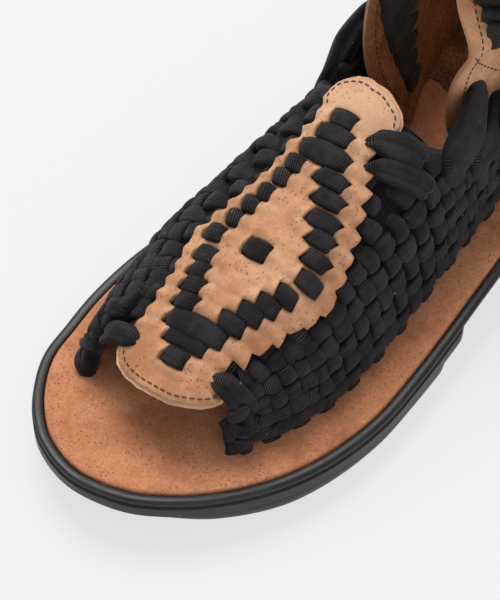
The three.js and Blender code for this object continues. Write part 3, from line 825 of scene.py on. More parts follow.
# %% Rows across the foot, and where each one comes through the leather
ROWS = table("station inner outer outer_toeward",
             (244, -21, 14.5, 16), (238, -17, 17, 17.5), (233, -17, 20.5, 22),
             (227, -18, 24, 23), (221.5, -18.5, 25.5, 26.5), (216.5, -19, 29, 26.5),
             (211, -21, 31, 30.5), (203.5, -21, 32, 33), (197, -19, 31, 30),
             (191, -17, 28.5, 28.5), (185.5, -15, 26.5, 25.5), (179, -13.5, 23, 22.5),
             (173, -13, 20.5, 19.5), (166.5, -13, 17, 16.5), (159.5, -12.5, 13.5, 12.5),
             (153.5, -12.5, 9.5, 9))
PATCHES = table("row start end start_skew end_skew",
                (1, -2, 6.5, -1, 1), (2, -5.5, 9, -1.5, 0.5), (3, -9, 12, -2, 0.5),
                (4, -10.5, -3, -2.5, -1), (4, 5.5, 14.5, 2, 1.5), (5, -12, -5, -2, -1.5),
                (5, 8.5, 17, 1.5, 1), (6, -13, -7, -2, -1), (6, 11.5, 19.5, 1.5, 1),
                (7, -15, -8.5, -1, -0.5), (7, 14.5, 22, 1.5, 1.5), (8, -17, -10.5, -1, 0.5),
                (8, -2.5, 6, 0, 0.5), (8, 17, 26, 0.5, 0.5), (9, -14, -9, 1.5, 1),
                (9, 14.5, 23.5, -2, -2.5), (10, -12.5, -7, 1.5, 1),
                (10, 12, 20.5, -2.5, -2.5), (11, -10.5, -5.5, 1.5, 0.5),
                (11, 8, 18.5, -1.5, -2.5), (12, -9.5, -4, 1.5, 1.5), (12, 5.5, 15.5, -2.5, -2),
                (13, -9, -3, 1.5, 1), (13, 2, 12.5, -2, -2), (14, -8.5, 9, 1.5, -1),
                (15, -7, 5, 1, -1), (16, -6, 2.5, 1, -0.5))
# In the first row the strip comes up over the leather's edge, on each side from one arc to another.
OVER_EDGE = ((16, 30), (-12, -24))
LAST_PANEL_ROW = len(ROWS["station"])
BULGE = {1: 3.2, 2: 2.9, 3: 4.4, 8: 3.5, 14: 4.4, 15: 3.5, 16: 3.4}  # half width in an opening
PITCH = 6.2  # between the rows behind the panel
ROW_ZERO = 249.5  # station of the part-row in front of the panel's first
BEHIND = ROWS["station"][-1] - PITCH * np.arange(1, 14)
ROW_AT = np.concatenate([[ROW_ZERO], ROWS["station"], BEHIND])
DRIFT = 0.12  # how far a row slants to the heel, for each millimetre outwards


def row_slant(row, arc):
    """How far a row has swung towards the heel at an arc: a little on the panel, more at the throat."""
    fan = np.interp(row, [8, 12, 15, 30], [0, 0.14, 0.4, 0.4])
    spread_out = np.where(arc > 0, 1.0, 0.6) * np.clip(np.abs(arc) - 12, 0, 22)
    return DRIFT * np.clip(arc, -25, 35) + fan * spread_out


def row_station(row, arc):
    return ROW_AT[row] - row_slant(row, arc)


print(len(PATCHES["row"]), "openings in", LAST_PANEL_ROW, "rows")

# %% [markdown]
# ## The plain weave at the sides
# Beside the panel the same strips go on down to the footbed, over one lengthwise strip and under the
# next. The lengthwise strips keep their distance from the footbed and draw together towards the toe,
# where there is less room. Whichever of the two is on top rises and swells, and the other dips.

# %% Where the lengthwise strips run
COLUMN_AT = np.array([6.0, 15.2, 23.8, 32.0, 40.2])  # arc distance up from the footbed
WALL_MIDDLE = -2.1  # the weave's middle, below the arch's surface
SWING = 1.4  # how far a strip rises and dips
SQUARENESS = 1.7  # how long a strip stays up or down before it crosses over


def over_and_under(count):
    """From 1 at an even count, where the strip is on top, to -1 at an odd one."""
    return np.tanh(SQUARENESS * np.cos(math.pi * count)) / np.tanh(SQUARENESS)


def panel_edge(side, station):
    boundary = ROWS["outer"] + 0.5 if side > 0 else -ROWS["inner"]
    return np.interp(station, ROWS["station"][::-1], boundary[::-1])


def squeeze(side, station):
    """How far the lengthwise strips draw together where there is less room."""
    room = arch_length(side, station) - panel_edge(side, station)
    return np.clip(room / 45, 0.46, 1.0)


def column_number(side, station, arc):
    """Which lengthwise strip is at a place, with the places between counted smoothly."""
    distance = (arch_length(side, station) - np.abs(arc)) / squeeze(side, station)
    first, second, *_, last_but_one, last = COLUMN_AT
    above = (distance - last) / (last - last_but_one) + len(COLUMN_AT) - 1
    inside = np.interp(distance, COLUMN_AT, np.arange(len(COLUMN_AT)))
    below = (distance - first) / (second - first)
    return np.where(distance > last, above, np.where(distance < first, below, inside))


def row_number(station, arc):
    """Which row is at a place, with the places between counted smoothly."""
    rows = np.arange(len(ROW_AT))
    stations = np.stack([row_station(r, arc) for r in rows])
    out = np.empty(len(station))
    for k in range(len(station)):
        out[k] = np.interp(-station[k], -stations[:, k], rows)
    return out


print("the two are on top in turn:", over_and_under(np.arange(4)).round(1))

# %% Where the weave ends: at the throat, at the toe and at the collar
THROAT = [(137.5, 34), (140, 31), (142.5, 27), (145, 19), (147.5, 12), (150, 6), (151.5, 0)]
FRONT = {1: ([18, 24.6, 30, 60], [241, 243.5, 246, 247]),
         -1: ([17, 24, 35, 60], [240.5, 242.5, 245, 246.5])}  # on each side, arcs and their stations


def front_edge(side, arc):
    return np.interp(np.abs(arc), *FRONT[side])


def below_collar(station, arc, points, margin):
    """Whether places are under the collar's edge at the side, or in front of the throat's edge."""
    low = points[:, 2] - footbed_top(station) < read(COLLAR, "height", station) - margin
    outside = np.abs(arc) > np.interp(station, *zip(*THROAT)) + margin
    return np.where(station > THROAT[0][0], outside, low)


print("the weave ends at station", front_edge(1, 30.0), "outside and", front_edge(-1, 30.0), "inside")

# %% The shape of a cross strip in the plain weave
SLOT_DEPTH = 5.0  # how far a strip goes on down into the footbed
STEP = 1.1  # between the points of a rail
COLLAR_START = 66  # station of the weave's last row, beside the counter
CUT_ARC = 27  # the inner end of the front rows is cut off beyond this arc


def smoothstep(edge0, edge1, value):
    t = np.clip((value - edge0) / (edge1 - edge0), 0, 1)
    return t * t * (3 - 2 * t)


def between(arc, start, end, before, after):
    """1 between two arcs and 0 outside, easing from so far before each to so far after it."""
    return (smoothstep(start - before, start + after, arc)
            * smoothstep(-end - before, -end + after, -arc))


def towards(value, target, share):
    return value * (1 - share) + target * share


def on_both_sides(function, arc):
    """A function of the side, read on whichever side each arc is."""
    return np.where(arc > 0, function(1), function(-1))


def plain_shape(row, station, arc, wobble):
    """Lift, half width and half thickness of a cross strip in the plain weave."""
    length = on_both_sides(lambda side: arch_length(side, station), arc)
    column = on_both_sides(lambda side: column_number(side, station, arc), arc)
    rise = over_and_under(column + row + 1)
    swell = np.maximum(0, rise)
    near_footbed = np.clip(1 - np.abs(length - np.abs(arc) - 6) / 9, 0, 1)
    uneven = 1 + 0.13 * np.sin(arc * 0.33 + wobble * 40) + 0.16 * (wobble - 0.5)
    half_width = (2.9 + (0.75 + 1.3 * near_footbed) * swell ** 0.7) * uneven
    return np.array([WALL_MIDDLE + SWING * rise, half_width, (1.35 + 0.45 * swell) * (2 - uneven)])


print("half way through an opening:", between(np.array([5.0]), 0.0, 10.0, 1.6, 2.0))

# %% The shape of a cross strip under the leather, up through its openings and over its edge
UNDER_LEATHER = np.array([[-1.7], [2.9], [1.3]])  # lift, half width and half thickness
OVER_LEATHER = np.array([[2.6], [4.2], [2.0]])


def patches_in(row):
    keep = PATCHES["row"] == row
    return list(zip(*(PATCHES[key][keep] for key in ("start", "end", "start_skew", "end_skew"))))


def panel_shape(row, arc, shape):
    """The same three where the strip runs under the panel and comes up through its openings."""
    under = between(arc, ROWS["inner"][row - 1], ROWS["outer"][row - 1], 1.5, 1.5)
    shape = towards(shape, UNDER_LEATHER, under)
    skew = np.zeros(len(arc))
    wide = BULGE.get(row, 3.3)
    for start, end, start_skew, end_skew in patches_in(row):
        share = np.clip((arc - start) / (end - start), 0, 1)
        swell = np.sin(math.pi * share) ** 0.7
        bulging = np.array([2.1 + 0.35 * swell, 2.5 + (wide - 2.5) * swell,
                            1.2 + (wide - 2.9) * 0.45 * swell + 0.35 * swell])
        shape = towards(shape, bulging, between(arc, start, end, 1.6, 2.0))
        near = between(arc, start, end, 4, -1)
        skew += (start_skew * (1 - share) + end_skew * share) * near * 0.5
    return shape, skew


def over_edge_shape(arc, shape, start, end):
    """The first row's strip where it comes up over the leather's edge, pointed where it comes up."""
    way = 1 if end > start else -1
    up = smoothstep(way * start - 2, way * start + 2, way * arc)
    up = up * smoothstep(-way * end - 4, -way * end + 4, -way * arc)
    shape = towards(shape, OVER_LEATHER, up)
    shape[1] *= 1 - 0.75 * np.exp(-((way * (arc - start) + 1.2) / 2.4) ** 2)
    return shape


print("openings in the second row:", len(patches_in(2)))

# %% Rails of the strips that cross the foot
def cross_strip(row, wobble):
    low = -arch_length(-1, row_station(row, -60)) - SLOT_DEPTH
    high = arch_length(1, row_station(row, 60)) + SLOT_DEPTH
    arc = np.arange(low, high, STEP)
    station = row_station(row, arc)
    shape, skew = plain_shape(row, station, arc, wobble), np.zeros(len(arc))
    if 1 <= row <= LAST_PANEL_ROW:
        shape, skew = panel_shape(row, arc, shape)
    if row > LAST_PANEL_ROW:
        shape[1] += 0.5
    if row == 1:
        for start, end in OVER_EDGE:
            shape = over_edge_shape(arc, shape, start, end)
        station = station - np.interp(arc, [10, 15, 20, 27], [0, 0.5, 1.5, 1.5])
    lift, half_width, half_thick = shape
    out = outward(station, arc)
    fold = NO_FOLD if wobble < 0.55 else (wobble - 0.78) * 1.6
    return dict(arc=arc, station=station, points=on_arch(station, arc) + out * lift[:, None], out=out,
                half_width=half_width, half_thick=half_thick, skew=skew, fold=fold, start=wobble * 40)


def cut(strip, keep):
    """The stretch of a strip that is kept, as a rail."""
    if keep.sum() < 4:
        return []
    kept = (strip[key][keep] for key in ("points", "out", "half_width", "half_thick", "skew"))
    return [rail(*kept, strip["fold"], strip["start"])]


random_part = np.random.default_rng(7)
cross_rails = []
for row in range(len(ROW_AT)):
    strip = cross_strip(row, random_part.random())
    arc, station = strip["arc"], strip["station"]
    if row == 0:
        cross_rails += cut(strip, (arc > 22) & (station < front_edge(1, arc)))
    elif row <= LAST_PANEL_ROW:
        cross_rails += cut(strip, (arc > -CUT_ARC) | (station < front_edge(-1, arc)))
    else:
        low_enough = below_collar(station, arc, strip["points"], 1.0)
        for side in (-1, 1):
            in_front_of_collar = row_station(row, side * 60) > COLLAR_START
            cross_rails += cut(strip, low_enough & (side * arc > 0) & in_front_of_collar)
print(len(cross_rails), "strips across the foot")

# %% Rails of the lengthwise strips
long_rails = []
for side in (-1, 1):
    for number, distance in enumerate(COLUMN_AT):
        station = np.arange(250.0, 64.0, -STEP)
        arc = side * (arch_length(side, station) - distance * squeeze(side, station))
        rise = over_and_under(row_number(station, arc) + number)
        tight = squeeze(side, station)
        uneven = 1 + 0.15 * np.sin(station * 0.31 + number * 2.2 + side)
        half_width = (2.9 + 1.1 * np.maximum(0, rise)) * (0.35 + 0.65 * tight) * uneven
        half_thick = (1.4 + 0.5 * np.maximum(0, rise)) * (0.5 + 0.5 * tight)
        out = outward(station, arc)
        ends = smoothstep(-250.0, -245.0, -station)
        lift = WALL_MIDDLE + SWING * rise * ends - 1.0 * (1 - ends)
        points = on_arch(station, arc) + out * lift[:, None]
        free = np.abs(arc) > np.where(station > 236, 23.0, panel_edge(side, station) - 6)
        free &= station < front_edge(side, arc) - 1.5
        free &= below_collar(station, arc, points, 3.0)
        strip = dict(points=points, out=out, half_width=half_width, half_thick=half_thick,
                     skew=np.zeros(len(arc)), fold=(NO_FOLD, -0.15, 0.25)[number % 3],
                     start=distance)
        long_rails += cut(strip, free)
print(len(long_rails), "lengthwise strips")

# %% Rail of the soft edge round the collar
def collar_edge():
    half = []
    for side in (-1, 1):
        stations = np.arange(66.0, 137.0, 1.5)
        heights = read(COLLAR, "height", stations) - 2.0
        arcs = [float(arc_at_height(side, s, h)) for s, h in zip(stations, heights)]
        half.append((stations, np.array(arcs)))
    bridge = np.linspace(half[0][1][-1], half[1][1][-1], 42)[1:-1]
    across = np.interp(-np.abs(bridge), *np.array([(-arc, station) for station, arc in THROAT]).T)
    stations = np.concatenate([half[0][0], across, half[1][0][::-1]])
    arcs = np.concatenate([half[0][1], bridge, half[1][1][::-1]])
    stations, arcs = eased(stations), eased(arcs)
    out = outward(stations, arcs)
    return rail(on_arch(stations, arcs) + out * -1.7, out, 2.9, 2.2, fold=0.3)


def eased(values):
    """Each value made the mean of five neighbours, except the two at each end."""
    return np.concatenate([values[:2], np.convolve(values, np.ones(5) / 5, "valid"), values[-2:]])


collar_rail = collar_edge()
print("the collar's rail has", len(collar_rail["points"]), "points")

# %% Two wide strips that come over the leather at the throat and slant back to the heel
def curved(corners, count=80):
    """A smooth curve through places given by station and arc."""
    flat = np.hstack([corners, np.zeros((len(corners), 1))])
    return smooth_through(flat, np.linspace(0, len(corners) - 1, count))[:, :2]


def wide_strip(corners, widths, fold, count=36):
    line = curved(corners, count)
    t = np.linspace(0, 1, count)
    out = outward(line[:, 0], line[:, 1])
    up = smoothstep(-0.06, 0.12, t) * smoothstep(0.0, 0.16, 1 - t)
    points = on_arch(line[:, 0], line[:, 1]) + out * (-1.8 + 3.9 * up)[:, None]
    half_width = np.interp(t, np.linspace(0, 1, len(widths)), widths)
    return rail(points, out, half_width, 0.9 + 1.3 * up, fold=fold, start=fold * 30)


wide_rails = [wide_strip([(156.0, 8.4), (152.8, 12.0), (149.6, 17.6), (147.2, 24), (146.4, 28.5)],
                         [0.4, 4.5, 5.4, 5.2, 3.8], -0.2),
              wide_strip([(162.3, 12.6), (158.6, 17.4), (153.8, 25), (150, 32.5), (149, 37)],
                         [0.4, 4.0, 4.8, 4.6, 3.2], 0.25)]
print(len(wide_rails), "wide strips at the throat")

# %% The two rolled legs that close the weave at the toe, and the knots round them
INNER_LEG = np.array([(-25.5, -231, 44.5), (-28.5, -237, 41), (-31.2, -242.5, 36.5), (-33, -247, 29.5),
                      (-34, -249.6, 22), (-35, -250.2, 15), (-35, -250.2, 10)])
OUTER_LEG = np.array([(17.5, -238.5, 42), (21.5, -240, 37), (24.3, -241.2, 30), (25.2, -242.5, 22),
                      (25, -243.6, 15), (25, -244, 10)])


def front_leg(corners, out, half_width, half_thick, fold, count=30):
    """The rolled edge of the weave, which goes down into the footbed."""
    t = np.linspace(0, 1, count)
    points = smooth_through(corners, t * (len(corners) - 1))
    knots = 1 + 0.16 * np.sin(t * 19) + 0.08 * np.sin(t * 41)
    width = half_width * knots * smoothstep(-0.1, 0.14, t)
    thick = half_thick * (1.1 - 0.1 * knots)
    return rail(points, np.tile(out, (count, 1)), width, thick, fold=fold, start=3.0)


def wraps(corners, out, shares, reach):
    """Short strips tied slantwise round a front leg, which make its knots."""
    out = np.array(out, float)
    made = []
    for number, share in enumerate(shares):
        near = smooth_through(corners, np.array([share, share + 0.02]) * (len(corners) - 1))
        along = (near[1] - near[0]) / np.linalg.norm(near[1] - near[0])
        across = np.cross(along, out)
        turn = np.linspace(-1.5, 1.5, 11)
        slant = 1.8 * (-1) ** number
        points = near[0] + across * (reach * np.sin(turn))[:, None]
        points = points + along * (slant * np.sin(turn))[:, None]
        points = points + out * (1.0 + 2.6 * np.cos(turn))[:, None]
        outs = out * np.cos(turn)[:, None] + across * np.sin(turn)[:, None]
        made.append(rail(points, outs, 2.7 * np.cos(turn * 0.8), 1.5, fold=0.2, start=number * 5))
    return made


leg_rails = [front_leg(INNER_LEG, (-0.75, -0.45, 0.35), 4.2, 3.4, 0.3),
             front_leg(OUTER_LEG, (0.7, -0.6, 0.25), 4.0, 3.2, 0.25)]
leg_rails += wraps(INNER_LEG, (-0.6, -0.6, 0.5), [0.2, 0.36, 0.53, 0.72], 3.4)
leg_rails += wraps(OUTER_LEG, (0.45, -0.75, 0.45), [0.3, 0.47, 0.64], 3.0)
print(len(leg_rails), "strips in the two legs")

# %% A thin dark layer in the middle of the wall, so that no light comes through between the strips
def lining_start(side, station):
    """Distance from the ridge at which the layer begins: under the panel, or below the collar."""
    if station > 150:
        return max(float(panel_edge(side, station)) - 5, 23 if station > 236 else 0)
    height = min(read(COLLAR, "height", station) - 3, 70)
    return float(arc_at_height(side, station, height) * side)


def lining(across):
    points, faces = [], []
    for side in (-1, 1):
        base = len(points)
        for s in np.arange(242.0, 66.0, -1.5):
            arcs = side * np.linspace(lining_start(side, s), float(arch_length(side, s)) + 3, across)
            stations = np.full(across, s)
            points += list(on_arch(stations, arcs) + outward(stations, arcs) * (WALL_MIDDLE - 0.3))
        for i in range(base, len(points) - across, across):
            for a in range(i, i + across - 1):
                face = [a, a + across, a + across + 1, a + 1]
                faces.append(face[::side * -1])
    mesh = shoe_mesh("lining", np.array(points), faces=faces)
    mesh.uv_layers.new(name="UVMap")
    mesh.shade_smooth()
    return mesh


lining_mesh = lining(across=26)
print("the dark layer has", len(lining_mesh.polygons), "faces")

# %% The three pieces of the weave
weave_across = strips("weave_across", cross_rails + wide_rails + leg_rails, fullness=0.62)
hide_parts("upper")
strips("weave_along", long_rails + [collar_rail], fullness=0.62)
weave_lining = finished("weave_lining", lining_mesh, "strip_fabric", cloth)
thickness = weave_lining.modifiers.new("thickness", "SOLIDIFY")
thickness.thickness, thickness.offset = 0.0007, 0

# %% [markdown]
# ## The leather panel
# The panel is cut out of one hide: its outline is toothed where strips dive under it and round at both
# ends. It is worked out like a flat pattern, as a distance to the outline with the openings taken away,
# on a fine grid of station and arc. The grid is then clipped where the distance is zero, laid on the
# arch, and given its thickness.

# %% Outline, from the throat down the inner side, round the toe end and back up the outer side
THROAT_END = [(145, 14), (143.5, 13.5), (141.5, 11.5), (140, 8), (138.5, 3.5), (138.5, 0),
              (138, -4), (139, -8), (141, -11.5), (142.5, -13), (145.5, -14),
              (149, -14), (151.5, -12.5)]
INNER_SIDE = [(155.5, -11.5), (159.5, -10.5), (161.5, -12.5), (165, -11), (167, -13),
              (169.5, -13.5), (173, -11.5), (175, -13), (177.5, -13), (180, -12),
              (181.5, -14), (183.5, -14.5), (186, -14), (187.5, -15.5), (190.5, -16),
              (192, -16), (194, -18), (196.5, -17), (198.5, -19), (201, -19.5),
              (202.5, -19), (205, -21.5), (208.5, -21.5), (211.5, -21), (216.5, -19.5),
              (219.5, -19), (222, -17.5), (224.5, -18.5), (227, -17.5), (229.5, -18),
              (231.5, -17), (235.5, -17), (238.5, -16.5), (242.5, -17)]
TOE_END = [(247, -16.5), (250.5, -15.5), (254, -12), (256, -7), (256.5, -1), (256, 5),
           (255, 10), (252.5, 14.5), (249.5, 18.5), (246.5, 21), (243.5, 22.5)]


def outer_side():
    """The toothed side: each row ends in one straight step."""
    corners = []
    for row in range(1, LAST_PANEL_ROW):
        outer, toeward = ROWS["outer"][row - 1], ROWS["outer_toeward"][row - 1]
        if row == 1:
            outer = toeward = 19.5
        centre = row_station(row, outer)
        reach = 0.5 * (ROW_AT[max(row - 1, 1)] - ROW_AT[row + 1]) / (2 if row > 1 else 1)
        corners += [(centre + reach - 0.15, toeward), (centre - reach + 0.15, outer)]
    return corners


OUTLINE = np.array(THROAT_END + INNER_SIDE + TOE_END + outer_side())
print("the panel's outline has", len(OUTLINE), "corners")

# %% Openings in the panel, and distance to a closed line
CENTRE_ROW = 8


def opening(row, start, end, start_skew, end_skew):
    """Corners of an opening whose slits are straight and whose long sides bulge."""
    half = 3.1 if row == CENTRE_ROW and start <= 0 <= end else 2.6
    corners = []
    for way, shares in ((1, np.linspace(1, 0, 6)), (-1, np.linspace(0, 1, 6))):
        for share in shares:
            arc, skew = towards(start, end, share), towards(start_skew, end_skew, share)
            reach = half + 0.35 * math.sin(math.pi * share)
            corners.append((row_station(row, arc) + way * reach, arc + way * skew * 0.5))
    return np.array(corners)


OPENINGS = [opening(int(row), *rest) for row, *rest in zip(*PATCHES.values())]


def distance_inside(corners, s, a):
    """Signed distance to a closed outline, positive inside."""
    closest = np.full(s.shape, 1e9)
    inside = np.zeros(s.shape, bool)
    for (s0, a0), (s1, a1) in zip(corners, np.roll(corners, -1, axis=0)):
        ds, da = s1 - s0, a1 - a0
        t = np.clip(((s - s0) * ds + (a - a0) * da) / (ds * ds + da * da), 0, 1)
        closest = np.minimum(closest, np.hypot(s - s0 - t * ds, a - a0 - t * da))
        if abs(da) > 1e-9:
            crosses = ((a0 > a) != (a1 > a)) & (s < ds * (a - a0) / da + s0)
            inside ^= crosses
    return np.where(inside, closest, -closest)


GRID = 0.5
grid_s, grid_a = np.meshgrid(np.arange(136.5, 259.6, GRID), np.arange(-23.5, 34.6, GRID), indexing="ij")
to_outline = distance_inside(OUTLINE, grid_s, grid_a)
to_opening = np.min([-distance_inside(corners, grid_s, grid_a) for corners in OPENINGS], axis=0)
leather = np.minimum(to_outline, to_opening)
print("panel pattern", grid_s.shape, "with", len(OPENINGS), "openings")

# %% Clip a grid where a field is zero
def clipped(values, *fields):
    """The part of a grid where values > 0: each point's fields, the faces, and the edges of the cut."""
    rows, columns = values.shape
    flat = values.ravel()
    flat_fields = [f.ravel() for f in fields]
    points, known, faces, rim = [], {}, [], []

    def corner(i):
        if i not in known:
            known[i] = len(points)
            points.append([f[i] for f in flat_fields])
        return known[i]

    def crossing(i, j):
        key = (min(i, j), max(i, j))
        if key not in known:
            t = flat[key[0]] / (flat[key[0]] - flat[key[1]])
            known[key] = len(points)
            points.append([f[key[0]] * (1 - t) + f[key[1]] * t for f in flat_fields])
        return known[key]

    for r in range(rows - 1):
        for c in range(columns - 1):
            i = r * columns + c
            quad = (i, i + columns, i + columns + 1, i + 1)
            signs = [flat[q] > 0 for q in quad]
            if all(signs):
                faces.append([corner(q) for q in quad])
                continue
            if not any(signs):
                continue
            for triangle in (quad[:3], (quad[0], *quad[2:])):
                face, cuts = [], []
                for here, following in zip(triangle, triangle[1:] + triangle[:1]):
                    if flat[here] > 0:
                        face.append(corner(here))
                    if (flat[here] > 0) != (flat[following] > 0):
                        cuts.append(crossing(here, following))
                        face.append(cuts[-1])
                if len(face) >= 3:
                    faces.append(face)
                    if len(cuts) == 2:
                        first = face.index(cuts[0])
                        forward = face[(first + 1) % len(face)] == cuts[1]
                        rim.append(tuple(cuts) if forward else (cuts[1], cuts[0]))
    return np.array(points), faces, rim


ONE_CORNER_OUT = np.array([[1.0, -1.0], [1.0, 1.0]])
print("a square less one corner has", len(clipped(ONE_CORNER_OUT, np.eye(2))[0]), "points")

# %% A clipped grid made into a sheet with thickness
def sheet_mesh(name, clip, top, bottom, **values):
    """A sheet with thickness: top and bottom points, a wall round every edge, and stored numbers."""
    points, faces, rim = clip
    count = len(points)
    all_faces = [list(f) for f in faces] + [[i + count for i in reversed(f)] for f in faces]
    all_faces += [[b, a, a + count, b + count] for a, b in rim]
    mesh = shoe_mesh(name, np.vstack([top, bottom]), faces=all_faces, sharp_angle=50)
    for key, (top_value, bottom_value) in values.items():
        keep_values(mesh, key, np.concatenate([np.broadcast_to(top_value, count),
                                               np.broadcast_to(bottom_value, count)]))
    return mesh


print("helper:", sheet_mesh.__name__)

# %% The panel's leather, laid on the arch
LEATHER_THICK = 1.9


def fading(distance, reach):
    return np.exp(-np.clip(distance, 0, 9) / reach)


def panel_lift(s, a, edge, slit):
    """Height of the leather's face: it swells over each strip and lifts at the lips of the slits."""
    rows = np.stack([row_station(r, a) for r in range(len(ROW_AT))])
    nearest = np.min(np.abs(rows - s), axis=0)
    worked = np.clip(1.15 - np.minimum(edge, slit) / 4.5, 0.06, 1)
    swell = 0.6 * worked * np.cos(math.pi * np.clip(nearest / 3.1, 0, 1.2))
    swell = swell * smoothstep(146, 154, s) * smoothstep(-250, -245, -s)
    lip = 0.3 * fading(slit, 1.4)
    for corners, start, end in zip(OPENINGS, PATCHES["start"], PATCHES["end"]):
        near = fading(-distance_inside(corners, s, a), 1.5)
        at_start, at_end = smoothstep(-0.6, 0.5, start - a), smoothstep(-0.6, 0.5, a - end)
        lip = np.maximum(lip, near * (1.25 * at_start + 0.85 * at_end))
    return 2.25 + swell + lip - 0.6 * fading(edge, 0.45) - 0.45 * fading(slit, 0.25)


panel_clip = clipped(leather, grid_s, grid_a, to_outline, to_opening)
s, a, edge, slit = panel_clip[0].T
face_lift = panel_lift(s, a, edge, slit)[:, None]
out, surface = outward(s, a), on_arch(s, a)
bare_edge = np.clip(1 - edge / 0.25, 0, 1) + np.clip(1.15 - slit / 0.45, 0, 1)
# Painted light: the panel is painted paler towards its throat end. It is also paler in a band just beside
# each slit.
painted_throat_light_and_slit_band = 0.3 * smoothstep(-172, -143, -s) + 0.13 * np.exp(-np.abs(slit - 1.1) / 0.7)
panel_mesh = sheet_mesh("leather_panel", panel_clip, surface + out * face_lift,
                        surface + out * (face_lift - LEATHER_THICK),
                        cut=(bare_edge, 1), worn=(painted_throat_light_and_slit_band, 0))
leather_panel = finished("leather_panel", panel_mesh, "panel_leather", tan_leather)
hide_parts("vamp_panel")

# %% A second layer of leather under both round ends, a little larger and with a ragged edge
LAYER_MARGIN = 1.0
ragged = 0.22 * np.sin(grid_s * 7.1 + np.sin(grid_a * 5.3)) * np.cos(grid_a * 6.4)
only_ends = np.maximum(146.5 - grid_s, grid_s - 243.5)
layer_clip = clipped(np.minimum(to_outline + LAYER_MARGIN + ragged, only_ends), grid_s, grid_a)
s, a = layer_clip[0].T
out, surface = outward(s, a), on_arch(s, a)
layer_mesh = sheet_mesh("panel_under_layer", layer_clip, surface + out * 0.75, surface - out * 0.6,
                        cut=(0, 0.3), worn=(0.4, 0.4))
finished("panel_under_layer", layer_mesh, "panel_leather", tan_leather)

# %% [markdown]
# ## Stitches
# Both round ends of the panel and the edges of the counter are sewn. A line of dashes could be painted
# on, but real stitches catch the light, so a seam is one more line of points. The stitch tree steps
# along it, sets a short bead of thread at every step and turns it to lie along the seam.

# %% The stitch tree
def make_stitch_tree():
    tree, given, result = new_tree("stitches", ("Seam", "Geometry"), ("Pitch", "Float"),
                                   ("Length", "Float"), ("Half width", "Float"),
                                   ("Half height", "Float"), ("Thread", "Material"))
    line = add(tree, "GeometryNodeMeshToCurve", {"Mesh": given["Seam"]}).outputs["Curve"]
    steps = add(tree, "GeometryNodeResampleCurve", {"Curve": line, "Length": given["Pitch"]},
                mode="LENGTH")
    tangent = add(tree, "GeometryNodeInputTangent").outputs[0]
    steps = stored(tree, steps.outputs["Curve"], "along_seam", tangent)
    points = add(tree, "GeometryNodeCurveToPoints", {"Curve": steps}, mode="EVALUATED").outputs["Points"]
    turn = add(tree, "FunctionNodeAlignRotationToVector", {"Vector": named(tree, "along_seam")},
               axis="X").outputs[0]
    bead = add(tree, "GeometryNodeMeshUVSphere", {"Segments": 8, "Rings": 5, "Radius": 1.0})
    size = add(tree, "ShaderNodeCombineXYZ",
               {"X": given["Length"], "Y": given["Half width"], "Z": given["Half height"]}).outputs[0]
    beads = add(tree, "GeometryNodeInstanceOnPoints",
                {"Points": points, "Instance": bead.outputs["Mesh"], "Rotation": turn, "Scale": size})
    return closed_tree(tree, result, beads.outputs[0], given["Thread"])


STITCH_TREE = make_stitch_tree()

# %% Seams, and the two on the panel
SEAM_INSET = 2.0  # from the leather's edge
SEAM_LIFT = 0.08


def seams(name, lines, slot):
    """Rows of stitches along lines of shoe points."""
    mesh = shoe_mesh(name, np.vstack(lines), chains(lines))
    settings = {"Pitch": 0.0025, "Length": 0.001, "Half width": 0.00032, "Half height": 0.0003,
                "Thread": thread}
    return grown(name, mesh, STITCH_TREE, settings, slot)


def inset(corners, distance):
    """An open line moved to the right of its way, in the pattern's plane."""
    way = unit(np.gradient(corners, axis=0))
    return corners + np.stack([-way[:, 1], way[:, 0]], axis=1) * distance


seam_lines = []
for end in (THROAT_END, TOE_END):
    s, a = inset(curved(end), SEAM_INSET).T
    level = panel_lift(s, a, np.full(len(s), SEAM_INSET), np.full(len(s), 9.0)) + SEAM_LIFT
    seam_lines.append(on_arch(s, a) + outward(s, a) * level[:, None])
seams("panel_stitches", seam_lines, "panel_leather")

# %% [markdown]
# ## The sole and the footbed
# The sole is moulded rubber with a rounded lip round the footbed, a tier under the lip, and a block with
# grooves under the forefoot and under the heel. The footbed is a leather-covered board that fills the
# lip. Both could be shaped by hand from a flat outline, but their sections change gently all the way
# round, so they are piles of rings drawn round the footbed's edge, each moved out or in a little and set
# at its own level. The top and the bottom are closed by rungs from side to side, fine enough to carry
# the tread's grooves.

# %% Rings round the footbed's edge
LIP_WIDTH, LIP_DEPTH, WELL_DEPTH, TIER_DEPTH = 3.5, 2.2, 7, 8.5
UNDERCUT, GROUND_DRAW = 3.8, 1.2
STEPS = 16  # points on the edge for each row of its table


def closed_edge():
    """The footbed's outline, up the outer side and back down the inner, and its way at each point."""
    loop = [(x, -s, 0) for x, s in zip(EDGE["lateral"], EDGE["station"])]
    loop += [(x, -s, 0) for x, s in list(zip(EDGE["medial"], EDGE["station"]))[-2:0:-1]]
    overlap = 3
    wrapped = np.array(loop[-overlap:] + loop + loop[:overlap], float)
    line = smooth_through(wrapped, np.arange(len(loop) * STEPS) / STEPS + overlap)
    return line, unit(np.roll(line, -1, axis=0) - np.roll(line, 1, axis=0))


EDGE_LINE, EDGE_WAY = closed_edge()


def edge_ring(distance, level):
    """The outline moved outwards by a distance, a number or a rule by station, at a level."""
    if callable(distance):
        distance = distance(-EDGE_LINE[:, 1])
    ring = EDGE_LINE.copy()
    ring[:, 0] -= EDGE_WAY[:, 1] * distance
    ring[:, 1] += EDGE_WAY[:, 0] * distance
    ring[:, 2] = level(-ring[:, 1])
    return ring


print("each ring has", len(EDGE_LINE), "points")

